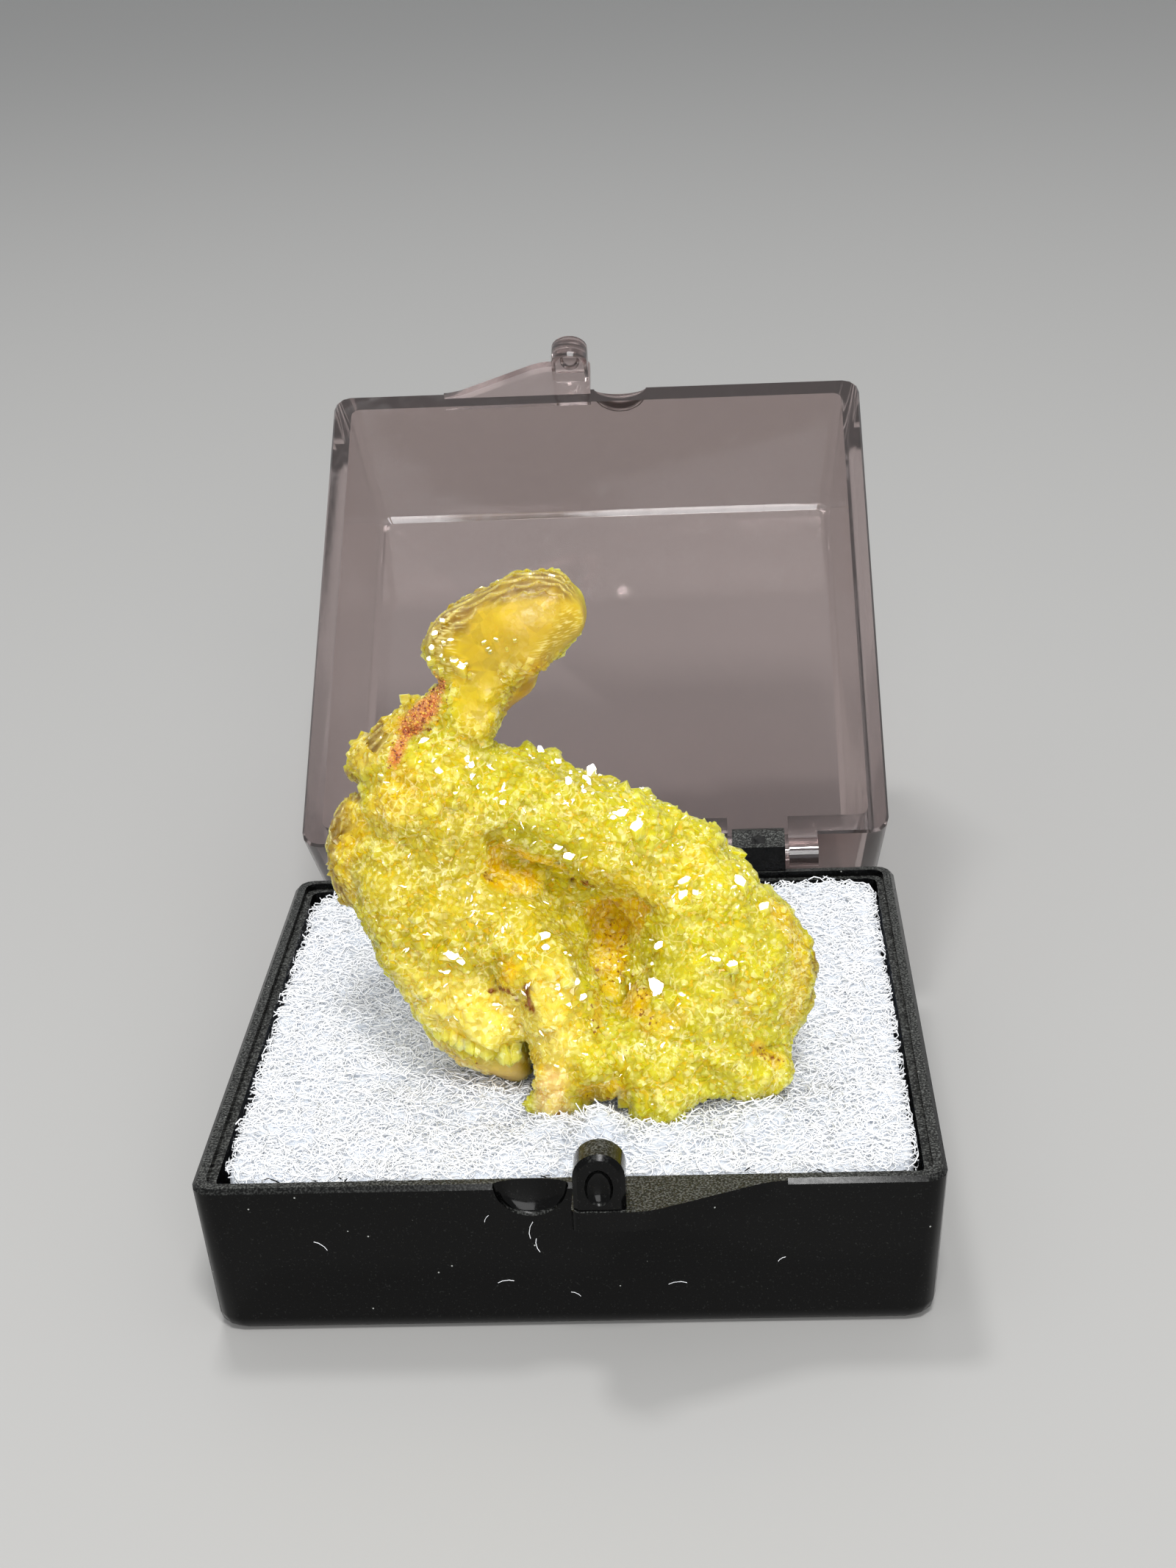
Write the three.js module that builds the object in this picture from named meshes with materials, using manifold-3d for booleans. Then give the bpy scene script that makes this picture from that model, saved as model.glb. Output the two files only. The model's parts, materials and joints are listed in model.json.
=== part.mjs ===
// Yellow adamite crystals standing on a white pad in a small hinged display box, lid open.
// Millimetres, +Z up. Origin: centre of the box's underside. The latch side faces -Y.
import * as THREE from 'three';
import { mergeVertices } from 'three/addons/utils/BufferGeometryUtils.js';
import Module from 'manifold-3d';

const wasm = await Module();
wasm.setup();

// Driving sizes of the box
const BOX_SIDE = 41;            // outside of the tray at its rim, 1 5/8 inch square
const BASE_HEIGHT = 9.5;
const BASE_TAPER = 0.53;        // how far each wall leans in at the underside
const PLAN_RADIUS = 1.2;        // upright corners
const EDGE_RADIUS = 1.0;        // round edge of the underside, and of the lid's panel
const BASE_FLOOR = 1.2;
const EDGE_STEPS = 3;           // flats on a round edge
const RIM_WIDTH = 0.75;         // upper band of the rim
const RIM_EASE = 0.25;          // eased outer edge of the rim
const LEDGE_WIDTH = 0.45;       // step inside the rim
const LEDGE_DROP = 0.45;
const TOUCH_GAP = 0.3;          // between pieces that touch
const CUT_PAST = 1;             // how far a cut runs past the face it opens

const LID_DEPTH = 14.3;
const LID_TAPER = 0.76;
const LID_WALL = 1.4;
const LID_PANEL = 1.3;
const LID_INNER_EASE = 0.4;     // eased inner edge of the panel
const LID_OPEN = 144;           // degrees from shut
const HINGE_BEHIND = 1.3;       // axis behind the back wall
const HINGE_ABOVE = 0.55;       // axis above the tray's rim
const LID_RIM_BELOW_AXIS = 0.35;

const PAD_TOP = 8.3;
const SPECIMEN_FOOT = PAD_TOP + TOUCH_GAP;

const HALF = BOX_SIDE / 2;
const HINGE_Y = HALF + HINGE_BEHIND;
const HINGE_Z = BASE_HEIGHT + HINGE_ABOVE;
const rad = THREE.MathUtils.degToRad;

// Seeded random numbers, the same on every run
function seededRandom(seed) {
  let state = seed;
  return () => {
    state = (state + 0x6d2b79f5) | 0;
    let t = Math.imul(state ^ (state >>> 15), 1 | state);
    t = (t + Math.imul(t ^ (t >>> 7), 61 | t)) ^ t;
    return ((t ^ (t >>> 14)) >>> 0) / 4294967296;
  };
}

// Solids for joins and cuts
function toSolid(geometry, matrix) {
  const bare = new THREE.BufferGeometry();
  bare.setAttribute('position', geometry.getAttribute('position').clone());
  if (geometry.index) bare.setIndex(geometry.index.clone());
  if (matrix) bare.applyMatrix4(matrix);
  const merged = mergeVertices(bare, 1e-4);
  return new wasm.Manifold(new wasm.Mesh({
    numProp: 3,
    vertProperties: new Float32Array(merged.getAttribute('position').array),
    triVerts: new Uint32Array(merged.index.array),
  }));
}

function toGeometry(solid) {
  const mesh = solid.getMesh();
  const geometry = new THREE.BufferGeometry();
  geometry.setAttribute('position', new THREE.BufferAttribute(new Float32Array(mesh.vertProperties), 3));
  geometry.setIndex(Array.from(mesh.triVerts));
  return geometry;
}

function placed(x, y, z, turnX = 0, turnY = 0, turnZ = 0, scale = [1, 1, 1]) {
  const turn = new THREE.Quaternion().setFromEuler(new THREE.Euler(rad(turnX), rad(turnY), rad(turnZ)));
  return new THREE.Matrix4().compose(new THREE.Vector3(x, y, z), turn, new THREE.Vector3(...scale));
}

// A rounded square, counter-clockwise from above
function roundedSquare(side, radius, cornerSteps = 3) {
  const points = [];
  const reach = side / 2 - radius;
  for (let corner = 0; corner < 4; corner++) {
    const signX = corner === 0 || corner === 3 ? 1 : -1;
    const signY = corner < 2 ? 1 : -1;
    for (let step = 0; step <= cornerSteps; step++) {
      const angle = (corner + step / cornerSteps) * Math.PI / 2;
      points.push([signX * reach + radius * Math.cos(angle), signY * reach + radius * Math.sin(angle)]);
    }
  }
  return points;
}

// A closed solid through square rings, listed from the lowest up
function loft(rings) {
  const loops = rings.map((ring) => roundedSquare(ring.side, ring.radius));
  const count = loops[0].length;
  const positions = [];
  loops.forEach((loop, level) => loop.forEach(([x, y]) => positions.push(x, y, rings[level].z)));
  const faces = [];
  for (let level = 0; level < loops.length - 1; level++) {
    for (let i = 0; i < count; i++) {
      const a = level * count + i;
      const b = level * count + (i + 1) % count;
      faces.push(a, b, b + count, a, b + count, a + count);
    }
  }
  const top = (loops.length - 1) * count;
  for (let i = 1; i < count - 1; i++) {
    faces.push(0, i + 1, i);
    faces.push(top, top + i, top + i + 1);
  }
  const geometry = new THREE.BufferGeometry();
  geometry.setAttribute('position', new THREE.Float32BufferAttribute(positions, 3));
  geometry.setIndex(faces);
  return toSolid(geometry);
}

// An outline drawn in the YZ plane, given a width along X
function alongX(points, fromX, width) {
  const shape = new THREE.Shape(points.map(([y, z]) => new THREE.Vector2(y, z)));
  const geometry = new THREE.ExtrudeGeometry(shape, { depth: width, bevelEnabled: false });
  const turn = new THREE.Matrix4().makeBasis(
    new THREE.Vector3(0, 1, 0), new THREE.Vector3(0, 0, 1), new THREE.Vector3(1, 0, 0));
  turn.setPosition(fromX, 0, 0);
  return toSolid(geometry, turn);
}

// Points of an arc about (y, z), from one angle to another in degrees
function arc(y, z, radius, from, to, steps) {
  const points = [];
  for (let step = 0; step <= steps; step++) {
    const angle = rad(from + (to - from) * step / steps);
    points.push([y + radius * Math.cos(angle), z + radius * Math.sin(angle)]);
  }
  return points;
}

function ellipsoid(at, half, detail, lean = 0) {
  return toSolid(new THREE.IcosahedronGeometry(1, detail), placed(...at, 0, lean, 0, half));
}

function roundBar(radius, fromX, toX, y, z) {
  const bar = new THREE.CylinderGeometry(radius, radius, Math.abs(toX - fromX), 16);
  return toSolid(bar, placed((fromX + toX) / 2, y, z, 0, 0, 90));
}

// Latch: a wing along the rim with an upright knob, the same on tray and lid.
// Drawn for the tray: y = 0 is the wall, the wing's top is z = 0, the knob points up.
const WING_OUT = 2.9;           // how far it stands out at the knob
const WING_THICK = 1.15;
const WING_CORNER = 0.5;        // round corner at its inner end
const WING_INNER_END = 0.4;
const WING_FLAT_END = 4.0;      // from here it runs back to the wall
const WING_SWEEP = 0.6;         // half length of the soft bend there
const WING_TIP = 11.9;
const WING_ROOT = 0.5;          // buried in the wall
const KNOB_X = 1.93;
const KNOB_WIDTH = 2.8;
const KNOB_HEIGHT = 3.3;
const KNOB_THICK = 2.1;
const KNOB_BEVEL = 0.25;
const KNOB_BACK_SET = 0.15;     // its face stands this far behind the wing's edge
const DISH_HALF = [0.8, 0.55, 1.15];  // thumb dish in the knob's face
const DISH_HEIGHT = 0.42;       // of the knob's height
const SCOOP_HALF = [2.1, 0.62, 2.2];

function latchWing() {
  const corner = WING_CORNER;
  const sweep = WING_SWEEP;
  const shape = new THREE.Shape();
  shape.moveTo(WING_INNER_END, WING_ROOT);
  shape.lineTo(WING_INNER_END, -WING_OUT + corner);
  shape.absarc(WING_INNER_END + corner, -WING_OUT + corner, corner, Math.PI, Math.PI * 1.5, false);
  shape.lineTo(WING_FLAT_END - sweep, -WING_OUT);
  shape.quadraticCurveTo(WING_FLAT_END + sweep, -WING_OUT, WING_FLAT_END + 3 * sweep, -WING_OUT + sweep);
  shape.lineTo(WING_TIP - 2.5 * sweep, -sweep / 2);
  shape.quadraticCurveTo(WING_TIP - sweep, 0, WING_TIP, 0);
  shape.lineTo(WING_TIP, WING_ROOT);
  const plate = new THREE.ExtrudeGeometry(shape, { depth: WING_THICK, bevelEnabled: false, curveSegments: 4 });
  return toSolid(plate, placed(0, 0, -WING_THICK));
}

function latchKnob() {
  const half = KNOB_WIDTH / 2 - KNOB_BEVEL;
  const shoulder = KNOB_HEIGHT - KNOB_WIDTH / 2;
  const foot = -WING_THICK / 2;
  const shape = new THREE.Shape();
  shape.moveTo(-half, foot);
  shape.lineTo(half, foot);
  shape.lineTo(half, shoulder);
  shape.absarc(0, shoulder, half, 0, Math.PI, false);
  const block = new THREE.ExtrudeGeometry(shape, {
    depth: KNOB_THICK - 2 * KNOB_BEVEL,
    bevelSize: KNOB_BEVEL,
    bevelThickness: KNOB_BEVEL,
    bevelSegments: 1,
    curveSegments: 6,
  });
  const front = -WING_OUT + KNOB_BACK_SET + KNOB_THICK - KNOB_BEVEL;
  const knob = toSolid(block, placed(KNOB_X, front, 0, 90));
  const dish = ellipsoid([KNOB_X, -WING_OUT, KNOB_HEIGHT * DISH_HEIGHT], DISH_HALF, 2);
  return knob.subtract(dish);
}

// Hollow in the other wall's front that gives the opposite knob room
function latchScoop() {
  return ellipsoid([-KNOB_X, 0.1, 0.2], SCOOP_HALF, 3);
}

function latchSolids(flip) {
  const parts = { wing: latchWing(), knob: latchKnob(), scoop: latchScoop() };
  if (!flip) return parts;
  const turned = (solid) => solid.rotate([0, 180, 0]);
  return { wing: turned(parts.wing), knob: turned(parts.knob), scoop: turned(parts.scoop) };
}

// Hinge: black lugs with a bore on the tray, clear ears with a pin on the lid
const LUG_X = 11.4;
const LUG_WIDTH = 3.6;
const LUG_RADIUS = 1.7;
const LUG_BORE = 0.85;
const LUG_ROOT = 0.6;           // buried in the back wall
const LUG_FOOT = 5.4;           // height of its lower end
const NUB_WIDTH = 0.9;          // small nub on the lug's shoulder
const NUB_RADIUS = 0.55;
const EAR_WIDTH = 2.0;
const EAR_RADIUS = 1.0;
const PIN_RADIUS = 0.55;
const PIN_REACH = 1.4;          // into the lug's bore

function hingeLug(side) {
  const from = side * LUG_X - LUG_WIDTH / 2;
  const body = alongX([
    [HALF - LUG_ROOT, BASE_HEIGHT - 1.5],
    [HALF - 0.2, LUG_FOOT],
    [HALF + 0.5, LUG_FOOT + 0.2],
    ...arc(HINGE_Y, HINGE_Z, LUG_RADIUS, -35, 125, 8),
    [HALF - LUG_ROOT, HINGE_Z + 1.25],
  ], from, LUG_WIDTH);
  const nubOutline = arc(HINGE_Y - 0.9, HINGE_Z + 1.3, NUB_RADIUS, 0, 300, 5);
  const nub = alongX(nubOutline, side * LUG_X - NUB_WIDTH / 2, NUB_WIDTH);
  const bore = roundBar(LUG_BORE, from - CUT_PAST, from + LUG_WIDTH + CUT_PAST, HINGE_Y, HINGE_Z);
  return body.add(nub).subtract(bore);
}

// Tray
function trayBase() {
  const rings = [];
  for (let step = 0; step <= EDGE_STEPS; step++) {
    const angle = step / EDGE_STEPS * Math.PI / 2;
    const inset = EDGE_RADIUS * (1 - Math.sin(angle));
    rings.push({
      side: BOX_SIDE - 2 * (BASE_TAPER + inset),
      radius: PLAN_RADIUS + 0.3 - inset / 2,
      z: EDGE_RADIUS * (1 - Math.cos(angle)),
    });
  }
  rings.push({ side: BOX_SIDE, radius: PLAN_RADIUS, z: BASE_HEIGHT - RIM_EASE });
  rings.push({ side: BOX_SIDE - 2 * RIM_EASE, radius: PLAN_RADIUS - RIM_EASE, z: BASE_HEIGHT });
  const inner = BOX_SIDE - 2 * (RIM_WIDTH + LEDGE_WIDTH);
  const cavity = loft([
    { side: inner - 2 * BASE_TAPER, radius: 0.8, z: BASE_FLOOR },
    { side: inner, radius: 0.6, z: BASE_HEIGHT - LEDGE_DROP + 0.01 },
    { side: inner, radius: 0.6, z: BASE_HEIGHT + CUT_PAST },
  ]);
  const step = loft([
    { side: BOX_SIDE - 2 * RIM_WIDTH, radius: 0.7, z: BASE_HEIGHT - LEDGE_DROP },
    { side: BOX_SIDE - 2 * RIM_WIDTH, radius: 0.7, z: BASE_HEIGHT + CUT_PAST },
  ]);
  const latch = latchSolids(false);
  const at = [0, -HALF, BASE_HEIGHT];
  return loft(rings)
    .add(hingeLug(-1))
    .add(hingeLug(1))
    .subtract(cavity)
    .subtract(step)
    .subtract(latch.scoop.translate(at))
    .add(latch.wing.translate(at))
    .add(latch.knob.translate(at));
}

// Lid, drawn shut and in its hinge's own frame: axis along X through the origin
function lidEar(side) {
  const near = LUG_X + LUG_WIDTH / 2 + TOUCH_GAP;
  const from = side > 0 ? near : -near - EAR_WIDTH;
  const wall = -HINGE_BEHIND - 0.6;
  const body = alongX([
    [wall, -LID_RIM_BELOW_AXIS],
    ...arc(0, 0, EAR_RADIUS, -160, 45, 9),
    [wall, 3.4],
  ], from, EAR_WIDTH);
  const pin = roundBar(PIN_RADIUS, side * (near + 0.5), side * (near - TOUCH_GAP - PIN_REACH), 0, 0);
  return body.add(pin);
}

function clearLid() {
  const rim = -LID_RIM_BELOW_AXIS;
  const middle = -HINGE_BEHIND - HALF;
  const rings = [
    { side: BOX_SIDE - 0.3, radius: PLAN_RADIUS - 0.1, z: rim },
    { side: BOX_SIDE, radius: PLAN_RADIUS, z: rim + 0.2 },
  ];
  for (let step = 0; step <= EDGE_STEPS; step++) {
    const angle = step / EDGE_STEPS * Math.PI / 2;
    const inset = EDGE_RADIUS * (1 - Math.cos(angle));
    rings.push({
      side: BOX_SIDE - 2 * (LID_TAPER + inset),
      radius: PLAN_RADIUS + 0.3 - inset / 2,
      z: rim + LID_DEPTH - EDGE_RADIUS * (1 - Math.sin(angle)),
    });
  }
  const inner = BOX_SIDE - 2 * LID_WALL;
  const hollow = loft([
    { side: inner, radius: 0.6, z: rim - CUT_PAST },
    { side: inner, radius: 0.6, z: rim },
    { side: inner - 2 * LID_TAPER, radius: 0.8, z: rim + LID_DEPTH - LID_PANEL - LID_INNER_EASE },
    { side: inner - 2 * (LID_TAPER + LID_INNER_EASE), radius: 0.6, z: rim + LID_DEPTH - LID_PANEL },
  ]);
  const latch = latchSolids(true);
  const front = [0, -HALF, rim];
  let lid = loft(rings)
    .subtract(hollow)
    .subtract(latch.scoop.translate(front))
    .add(latch.wing.translate(front))
    .add(latch.knob.translate(front))
    .translate([0, middle, 0]);
  for (const side of [-1, 1]) {
    const notchWidth = LUG_WIDTH + 2 * TOUCH_GAP;
    const notch = new THREE.BoxGeometry(notchWidth, LID_WALL + 2, 5);
    lid = lid.subtract(toSolid(notch, placed(side * LUG_X, -HINGE_BEHIND - LID_WALL / 2, -0.1)));
    lid = lid.add(lidEar(side));
  }
  return lid;
}

// Pad: one block of white fibre with soft upper edges
function whitePad() {
  const bottom = BASE_FLOOR + TOUCH_GAP;
  const side = BOX_SIDE - 2 * (RIM_WIDTH + LEDGE_WIDTH + TOUCH_GAP);
  return loft([
    { side: side - 2 * BASE_TAPER, radius: 1.5, z: bottom },
    { side: side - 0.2, radius: 1.6, z: PAD_TOP - 1.2 },
    { side: side - 0.4, radius: 1.8, z: PAD_TOP - 0.5 },
    { side: side - 1.6, radius: 2.2, z: PAD_TOP },
  ]);
}

// The grown mass: overlapping lumps, each with its place, half sizes and lean.
// Lean turns a lump about the front-back line, positive with its top to the right.
const LUMPS = {
  head: [
    { name: 'cap', at: [-2.5, -4.0, 35.5], half: [5.0, 3.2, 2.75], lean: -27 },
    { name: 'cap fold', at: [-6.2, -4.5, 34.8], half: [1.6, 1.7, 1.8], lean: 0 },
    { name: 'neck', at: [-5.1, -5.0, 31.2], half: [2.1, 2.2, 3.9], lean: 30 },
    { name: 'bud', at: [-3.2, -3.2, 32.0], half: [1.3, 1.2, 1.4], lean: 20 },
  ],
  left: [
    { name: 'left knob', at: [-8.7, -4.2, 30.5], half: [1.6, 1.4, 1.2], lean: -30 },
    { name: 'upper fan', at: [-10.4, -4.2, 28.3], half: [2.4, 1.6, 2.0], lean: -30 },
    { name: 'middle fan', at: [-12.2, -4.6, 22.4], half: [1.8, 2.0, 3.3], lean: 0 },
    { name: 'shoulder', at: [-7.1, -5.6, 25.8], half: [4.2, 3.4, 3.8], lean: -15 },
    { name: 'flank', at: [-9.2, -6.0, 21.2], half: [3.4, 3.0, 3.8], lean: 0 },
    { name: 'middle', at: [-4.9, -7.4, 19.9], half: [3.7, 3.0, 3.2], lean: 0 },
    { name: 'flange', at: [-7.2, -7.8, 17.6], half: [4.5, 2.3, 3.3], lean: 35 },
    { name: 'lip', at: [-5.1, -9.4, 14.0], half: [3.2, 1.7, 1.6], lean: 12 },
    { name: 'under slab', at: [-5.2, -7.6, 11.5], half: [3.1, 2.6, 1.4], lean: 26 },
    { name: 'slab root', at: [-5.4, -6.6, 13.4], half: [3.4, 2.8, 2.8], lean: 10 },
  ],
  ridge: [
    { name: 'ridge start', at: [-2.2, -5.6, 25.9], half: [3.0, 2.8, 2.6], lean: 10 },
    { name: 'ridge second', at: [0.3, -5.8, 24.7], half: [3.2, 2.8, 2.7], lean: 15 },
    { name: 'ridge third', at: [3.2, -6.2, 23.3], half: [3.2, 3.0, 2.9], lean: 15 },
    { name: 'ridge bump', at: [6.8, -5.6, 21.8], half: [2.5, 2.4, 2.6], lean: 0 },
    { name: 'ridge end', at: [7.5, -6.8, 19.8], half: [3.4, 3.2, 3.2], lean: 20 },
  ],
  right: [
    { name: 'outer top', at: [10.3, -6.8, 17.2], half: [2.9, 3.0, 3.3], lean: -20 },
    { name: 'outer side', at: [11.3, -7.2, 14.4], half: [2.7, 2.8, 3.0], lean: 0 },
    { name: 'face', at: [8.0, -8.4, 15.6], half: [4.0, 3.6, 4.0], lean: 0 },
    { name: 'lower face', at: [6.5, -10.0, 12.9], half: [3.5, 3.0, 2.9], lean: 20 },
    { name: 'lobe', at: [9.8, -10.8, 11.2], half: [2.7, 1.9, 1.6], lean: 28 },
    { name: 'nub', at: [12.6, -8.6, 11.6], half: [0.8, 0.8, 0.8], lean: 0 },
  ],
  feet: [
    { name: 'column', at: [-1.2, -9.4, 15.8], half: [2.6, 2.6, 4.5], lean: -22 },
    { name: 'column foot', at: [0.5, -11.3, 12.2], half: [2.8, 2.2, 2.5], lean: 0 },
    { name: 'left foot', at: [-1.0, -11.9, 10.4], half: [1.9, 1.7, 1.9], lean: 0 },
    { name: 'right foot', at: [5.1, -12.2, 10.9], half: [1.9, 1.6, 2.4], lean: 8 },
    { name: 'bridge', at: [3.6, -10.4, 12.6], half: [2.8, 2.2, 1.9], lean: 0 },
  ],
  back: [
    { name: 'back right', at: [4.0, -3.6, 16.2], half: [5.6, 3.6, 5.2], lean: -15 },
    { name: 'back left', at: [-4.4, -3.2, 17.6], half: [4.6, 3.4, 5.6], lean: -10 },
    { name: 'back foot', at: [0.4, -2.2, 11.4], half: [4.4, 3.0, 3.0], lean: 0 },
    { name: 'back heel', at: [7.4, -4.6, 11.2], half: [3.0, 2.6, 2.8], lean: 0 },
    { name: 'back rib', at: [-0.6, -3.4, 22.2], half: [4.6, 2.6, 2.8], lean: 12 },
  ],
};

// Hollows that open at the front
const HOLLOWS = [
  { name: 'upper cave', at: [-1.9, -9.2, 21.4], half: [2.9, 3.6, 0.95], lean: 6 },
  { name: 'deep hole', at: [2.7, -9.8, 17.9], half: [1.9, 4.4, 2.8], lean: 0 },
  { name: 'lower pit', at: [2.4, -12.0, 14.9], half: [1.3, 2.4, 1.2], lean: 0 },
  { name: 'crack', at: [-3.6, -10.6, 16.0], half: [1.3, 1.7, 0.5], lean: 40 },
];

// Parts of the surface that stay smooth, and carry few crystals
const SMOOTH = [
  { at: [-2.7, -4.0, 36.2], reach: 4.6 },
  { at: [-6.2, -4.4, 34.2], reach: 3.0 },
  { at: [-3.2, -3.6, 31.4], reach: 2.6 },
  { at: [-12.6, -4.6, 22.4], reach: 2.6 },
  { at: [-10.6, -4.2, 29.0], reach: 2.6 },
  { at: [-5.3, -7.6, 10.7], reach: 3.0 },
];

const BLEND = 0.8;              // width over which neighbouring lumps flow together
const HOLLOW_BLEND = 0.35;
const WANDER = 0.16;            // how far the surface strays from its lumps
const SKIN_STEP = 1.35;         // size of the skin's faces
const RUGGED = 0.3;             // how far a corner of the skin is moved, to give broken crystal faces

// Rough distance from a point to a leaning ellipsoid, negative inside
function distanceTo(lump, point) {
  const turn = rad(lump.lean);
  const [x, y, z] = point.map((value, axis) => value - lump.at[axis]);
  const local = [x * Math.cos(turn) - z * Math.sin(turn), y, x * Math.sin(turn) + z * Math.cos(turn)];
  const outer = Math.hypot(...local.map((value, axis) => value / lump.half[axis]));
  const slope = Math.hypot(...local.map((value, axis) => value / lump.half[axis] ** 2));
  return outer < 1e-6 ? -Math.min(...lump.half) : outer * (outer - 1) / slope;
}

function smoothMin(a, b, width) {
  const mix = Math.max(width - Math.abs(a - b), 0) / width;
  return Math.min(a, b) - mix * mix * width / 4;
}

function massDistance(point) {
  const [x, y, z] = point;
  let distance = Infinity;
  for (const group of Object.values(LUMPS)) {
    for (const lump of group) distance = smoothMin(distance, distanceTo(lump, point), BLEND);
  }
  distance += WANDER * (Math.sin(1.9 * x + 0.6 * z) + Math.sin(2.3 * y - 0.8 * x) + Math.sin(2.1 * z + 0.7 * y));
  for (const hollow of HOLLOWS) {
    distance = -smoothMin(-distance, distanceTo(hollow, point), HOLLOW_BLEND);
  }
  return Math.max(distance, SPECIMEN_FOOT - z);
}

function moved(cell, axis, by) {
  return cell.map((index, other) => index + (other === axis ? by : 0));
}

// Samples that meet inside ones only across a grid face's diagonal would give an edge shared by four
// faces, so they are taken in, until none is left
function closeDiagonals(samples, cells, key) {
  const justInside = -0.05;     // mm
  let changed = true;
  while (changed) {
    changed = false;
    for (const cell of cells) {
      for (let axis = 0; axis < 3; axis++) {
        const aside = moved(cell, (axis + 1) % 3, 1);
        const ring = [cell, aside, moved(aside, (axis + 2) % 3, 1), moved(cell, (axis + 2) % 3, 1)].map(key);
        const [a, b, c, d] = ring.map((corner) => samples[corner] < 0);
        if (a !== c || b !== d || a === b) continue;
        ring.filter((corner) => samples[corner] >= 0).forEach((corner) => { samples[corner] = justInside; });
        changed = true;
      }
    }
  }
}

// The zero surface of a distance, as one vertex in each crossed cell of a grid and one quad on each
// crossed edge
function skinOf(distance, low, high, step) {
  const size = low.map((value, axis) => Math.ceil((high[axis] - value) / step) + 1);
  const place = (cell) => cell.map((index, axis) => low[axis] + index * step);
  const key = ([i, j, k]) => (k * size[1] + j) * size[0] + i;
  const samples = new Float64Array(size[0] * size[1] * size[2]);
  const cells = [];
  for (let k = 0; k < size[2]; k++) {
    for (let j = 0; j < size[1]; j++) {
      for (let i = 0; i < size[0]; i++) {
        cells.push([i, j, k]);
        samples[key([i, j, k])] = distance(place([i, j, k]));
      }
    }
  }
  const positions = [];
  const vertexOf = new Map();
  const inner = cells.filter((cell) => cell.every((index, axis) => index < size[axis] - 1));
  closeDiagonals(samples, inner, key);
  for (const cell of inner) {
    const sum = new THREE.Vector3();
    let crossings = 0;
    for (let axis = 0; axis < 3; axis++) {
      for (const [u, v] of [[0, 0], [1, 0], [0, 1], [1, 1]]) {
        const from = moved(moved(cell, (axis + 1) % 3, u), (axis + 2) % 3, v);
        const a = samples[key(from)];
        const b = samples[key(moved(from, axis, 1))];
        if ((a < 0) === (b < 0)) continue;
        const point = place(from);
        point[axis] += step * a / (a - b);
        sum.add(new THREE.Vector3(...point));
        crossings += 1;
      }
    }
    if (crossings === 0) continue;
    vertexOf.set(key(cell), positions.length / 3);
    positions.push(...sum.divideScalar(crossings).toArray());
  }
  const faces = [];
  for (const cell of inner.filter((candidate) => Math.min(...candidate) > 0)) {
    for (let axis = 0; axis < 3; axis++) {
      const inside = samples[key(cell)] < 0;
      if (inside === samples[key(moved(cell, axis, 1))] < 0) continue;
      const sideways = (axis + 1) % 3;
      const upwards = (axis + 2) % 3;
      const ring = [
        cell,
        moved(cell, sideways, -1),
        moved(moved(cell, sideways, -1), upwards, -1),
        moved(cell, upwards, -1),
      ].map((corner) => vertexOf.get(key(corner)));
      if (!inside) ring.reverse();
      faces.push(ring[0], ring[1], ring[2], ring[0], ring[2], ring[3]);
    }
  }
  const geometry = new THREE.BufferGeometry();
  geometry.setAttribute('position', new THREE.Float32BufferAttribute(positions, 3));
  geometry.setIndex(faces);
  return geometry;
}

function isSmooth(point) {
  return SMOOTH.some((zone) => point.distanceTo(new THREE.Vector3(...zone.at)) < zone.reach);
}

function roughen(geometry) {
  const random = seededRandom(7);
  const position = geometry.getAttribute('position');
  const point = new THREE.Vector3();
  for (let i = 0; i < position.count; i++) {
    const shift = [random(), random(), random()].map((share) => RUGGED * (2 * share - 1));
    point.fromBufferAttribute(position, i);
    if (isSmooth(point)) continue;
    const z = Math.max(point.z + shift[2], SPECIMEN_FOOT);
    position.setXYZ(i, point.x + shift[0], point.y + shift[1], z);
  }
  return geometry;
}

function grownMass() {
  const low = [-17.5, -17.5, SPECIMEN_FOOT - 2.9];
  const high = [17.5, 5, 43];
  return toSolid(roughen(skinOf(massDistance, low, high, SKIN_STEP)));
}

// One crystal: a four-sided wedge, its root at z = -1 and its ridge at z = 1
function crystalGeometry() {
  const positions = [1, 0, -1, 0, 0.66, -1, -1, 0, -1, 0, -0.66, -1, 0.42, 0, 1, -0.42, 0, 1];
  const faces = [0, 2, 1, 0, 3, 2, 0, 1, 4, 1, 5, 4, 1, 2, 5, 2, 3, 5, 3, 4, 5, 3, 0, 4];
  const geometry = new THREE.BufferGeometry();
  geometry.setAttribute('position', new THREE.Float32BufferAttribute(positions, 3));
  geometry.setIndex(faces);
  return geometry;
}

// Shortest edge of a solid, to pass over a crystal whose join would leave slivers
function shortestEdge(solid) {
  const { vertProperties, triVerts } = solid.getMesh();
  let shortest = Infinity;
  for (let i = 0; i < triVerts.length; i += 3) {
    for (let side = 0; side < 3; side++) {
      const a = triVerts[i + side] * 3;
      const b = triVerts[i + (side + 1) % 3] * 3;
      const length = Math.hypot(
        vertProperties[a] - vertProperties[b],
        vertProperties[a + 1] - vertProperties[b + 1],
        vertProperties[a + 2] - vertProperties[b + 2]);
      shortest = Math.min(shortest, length);
    }
  }
  return shortest;
}

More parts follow.
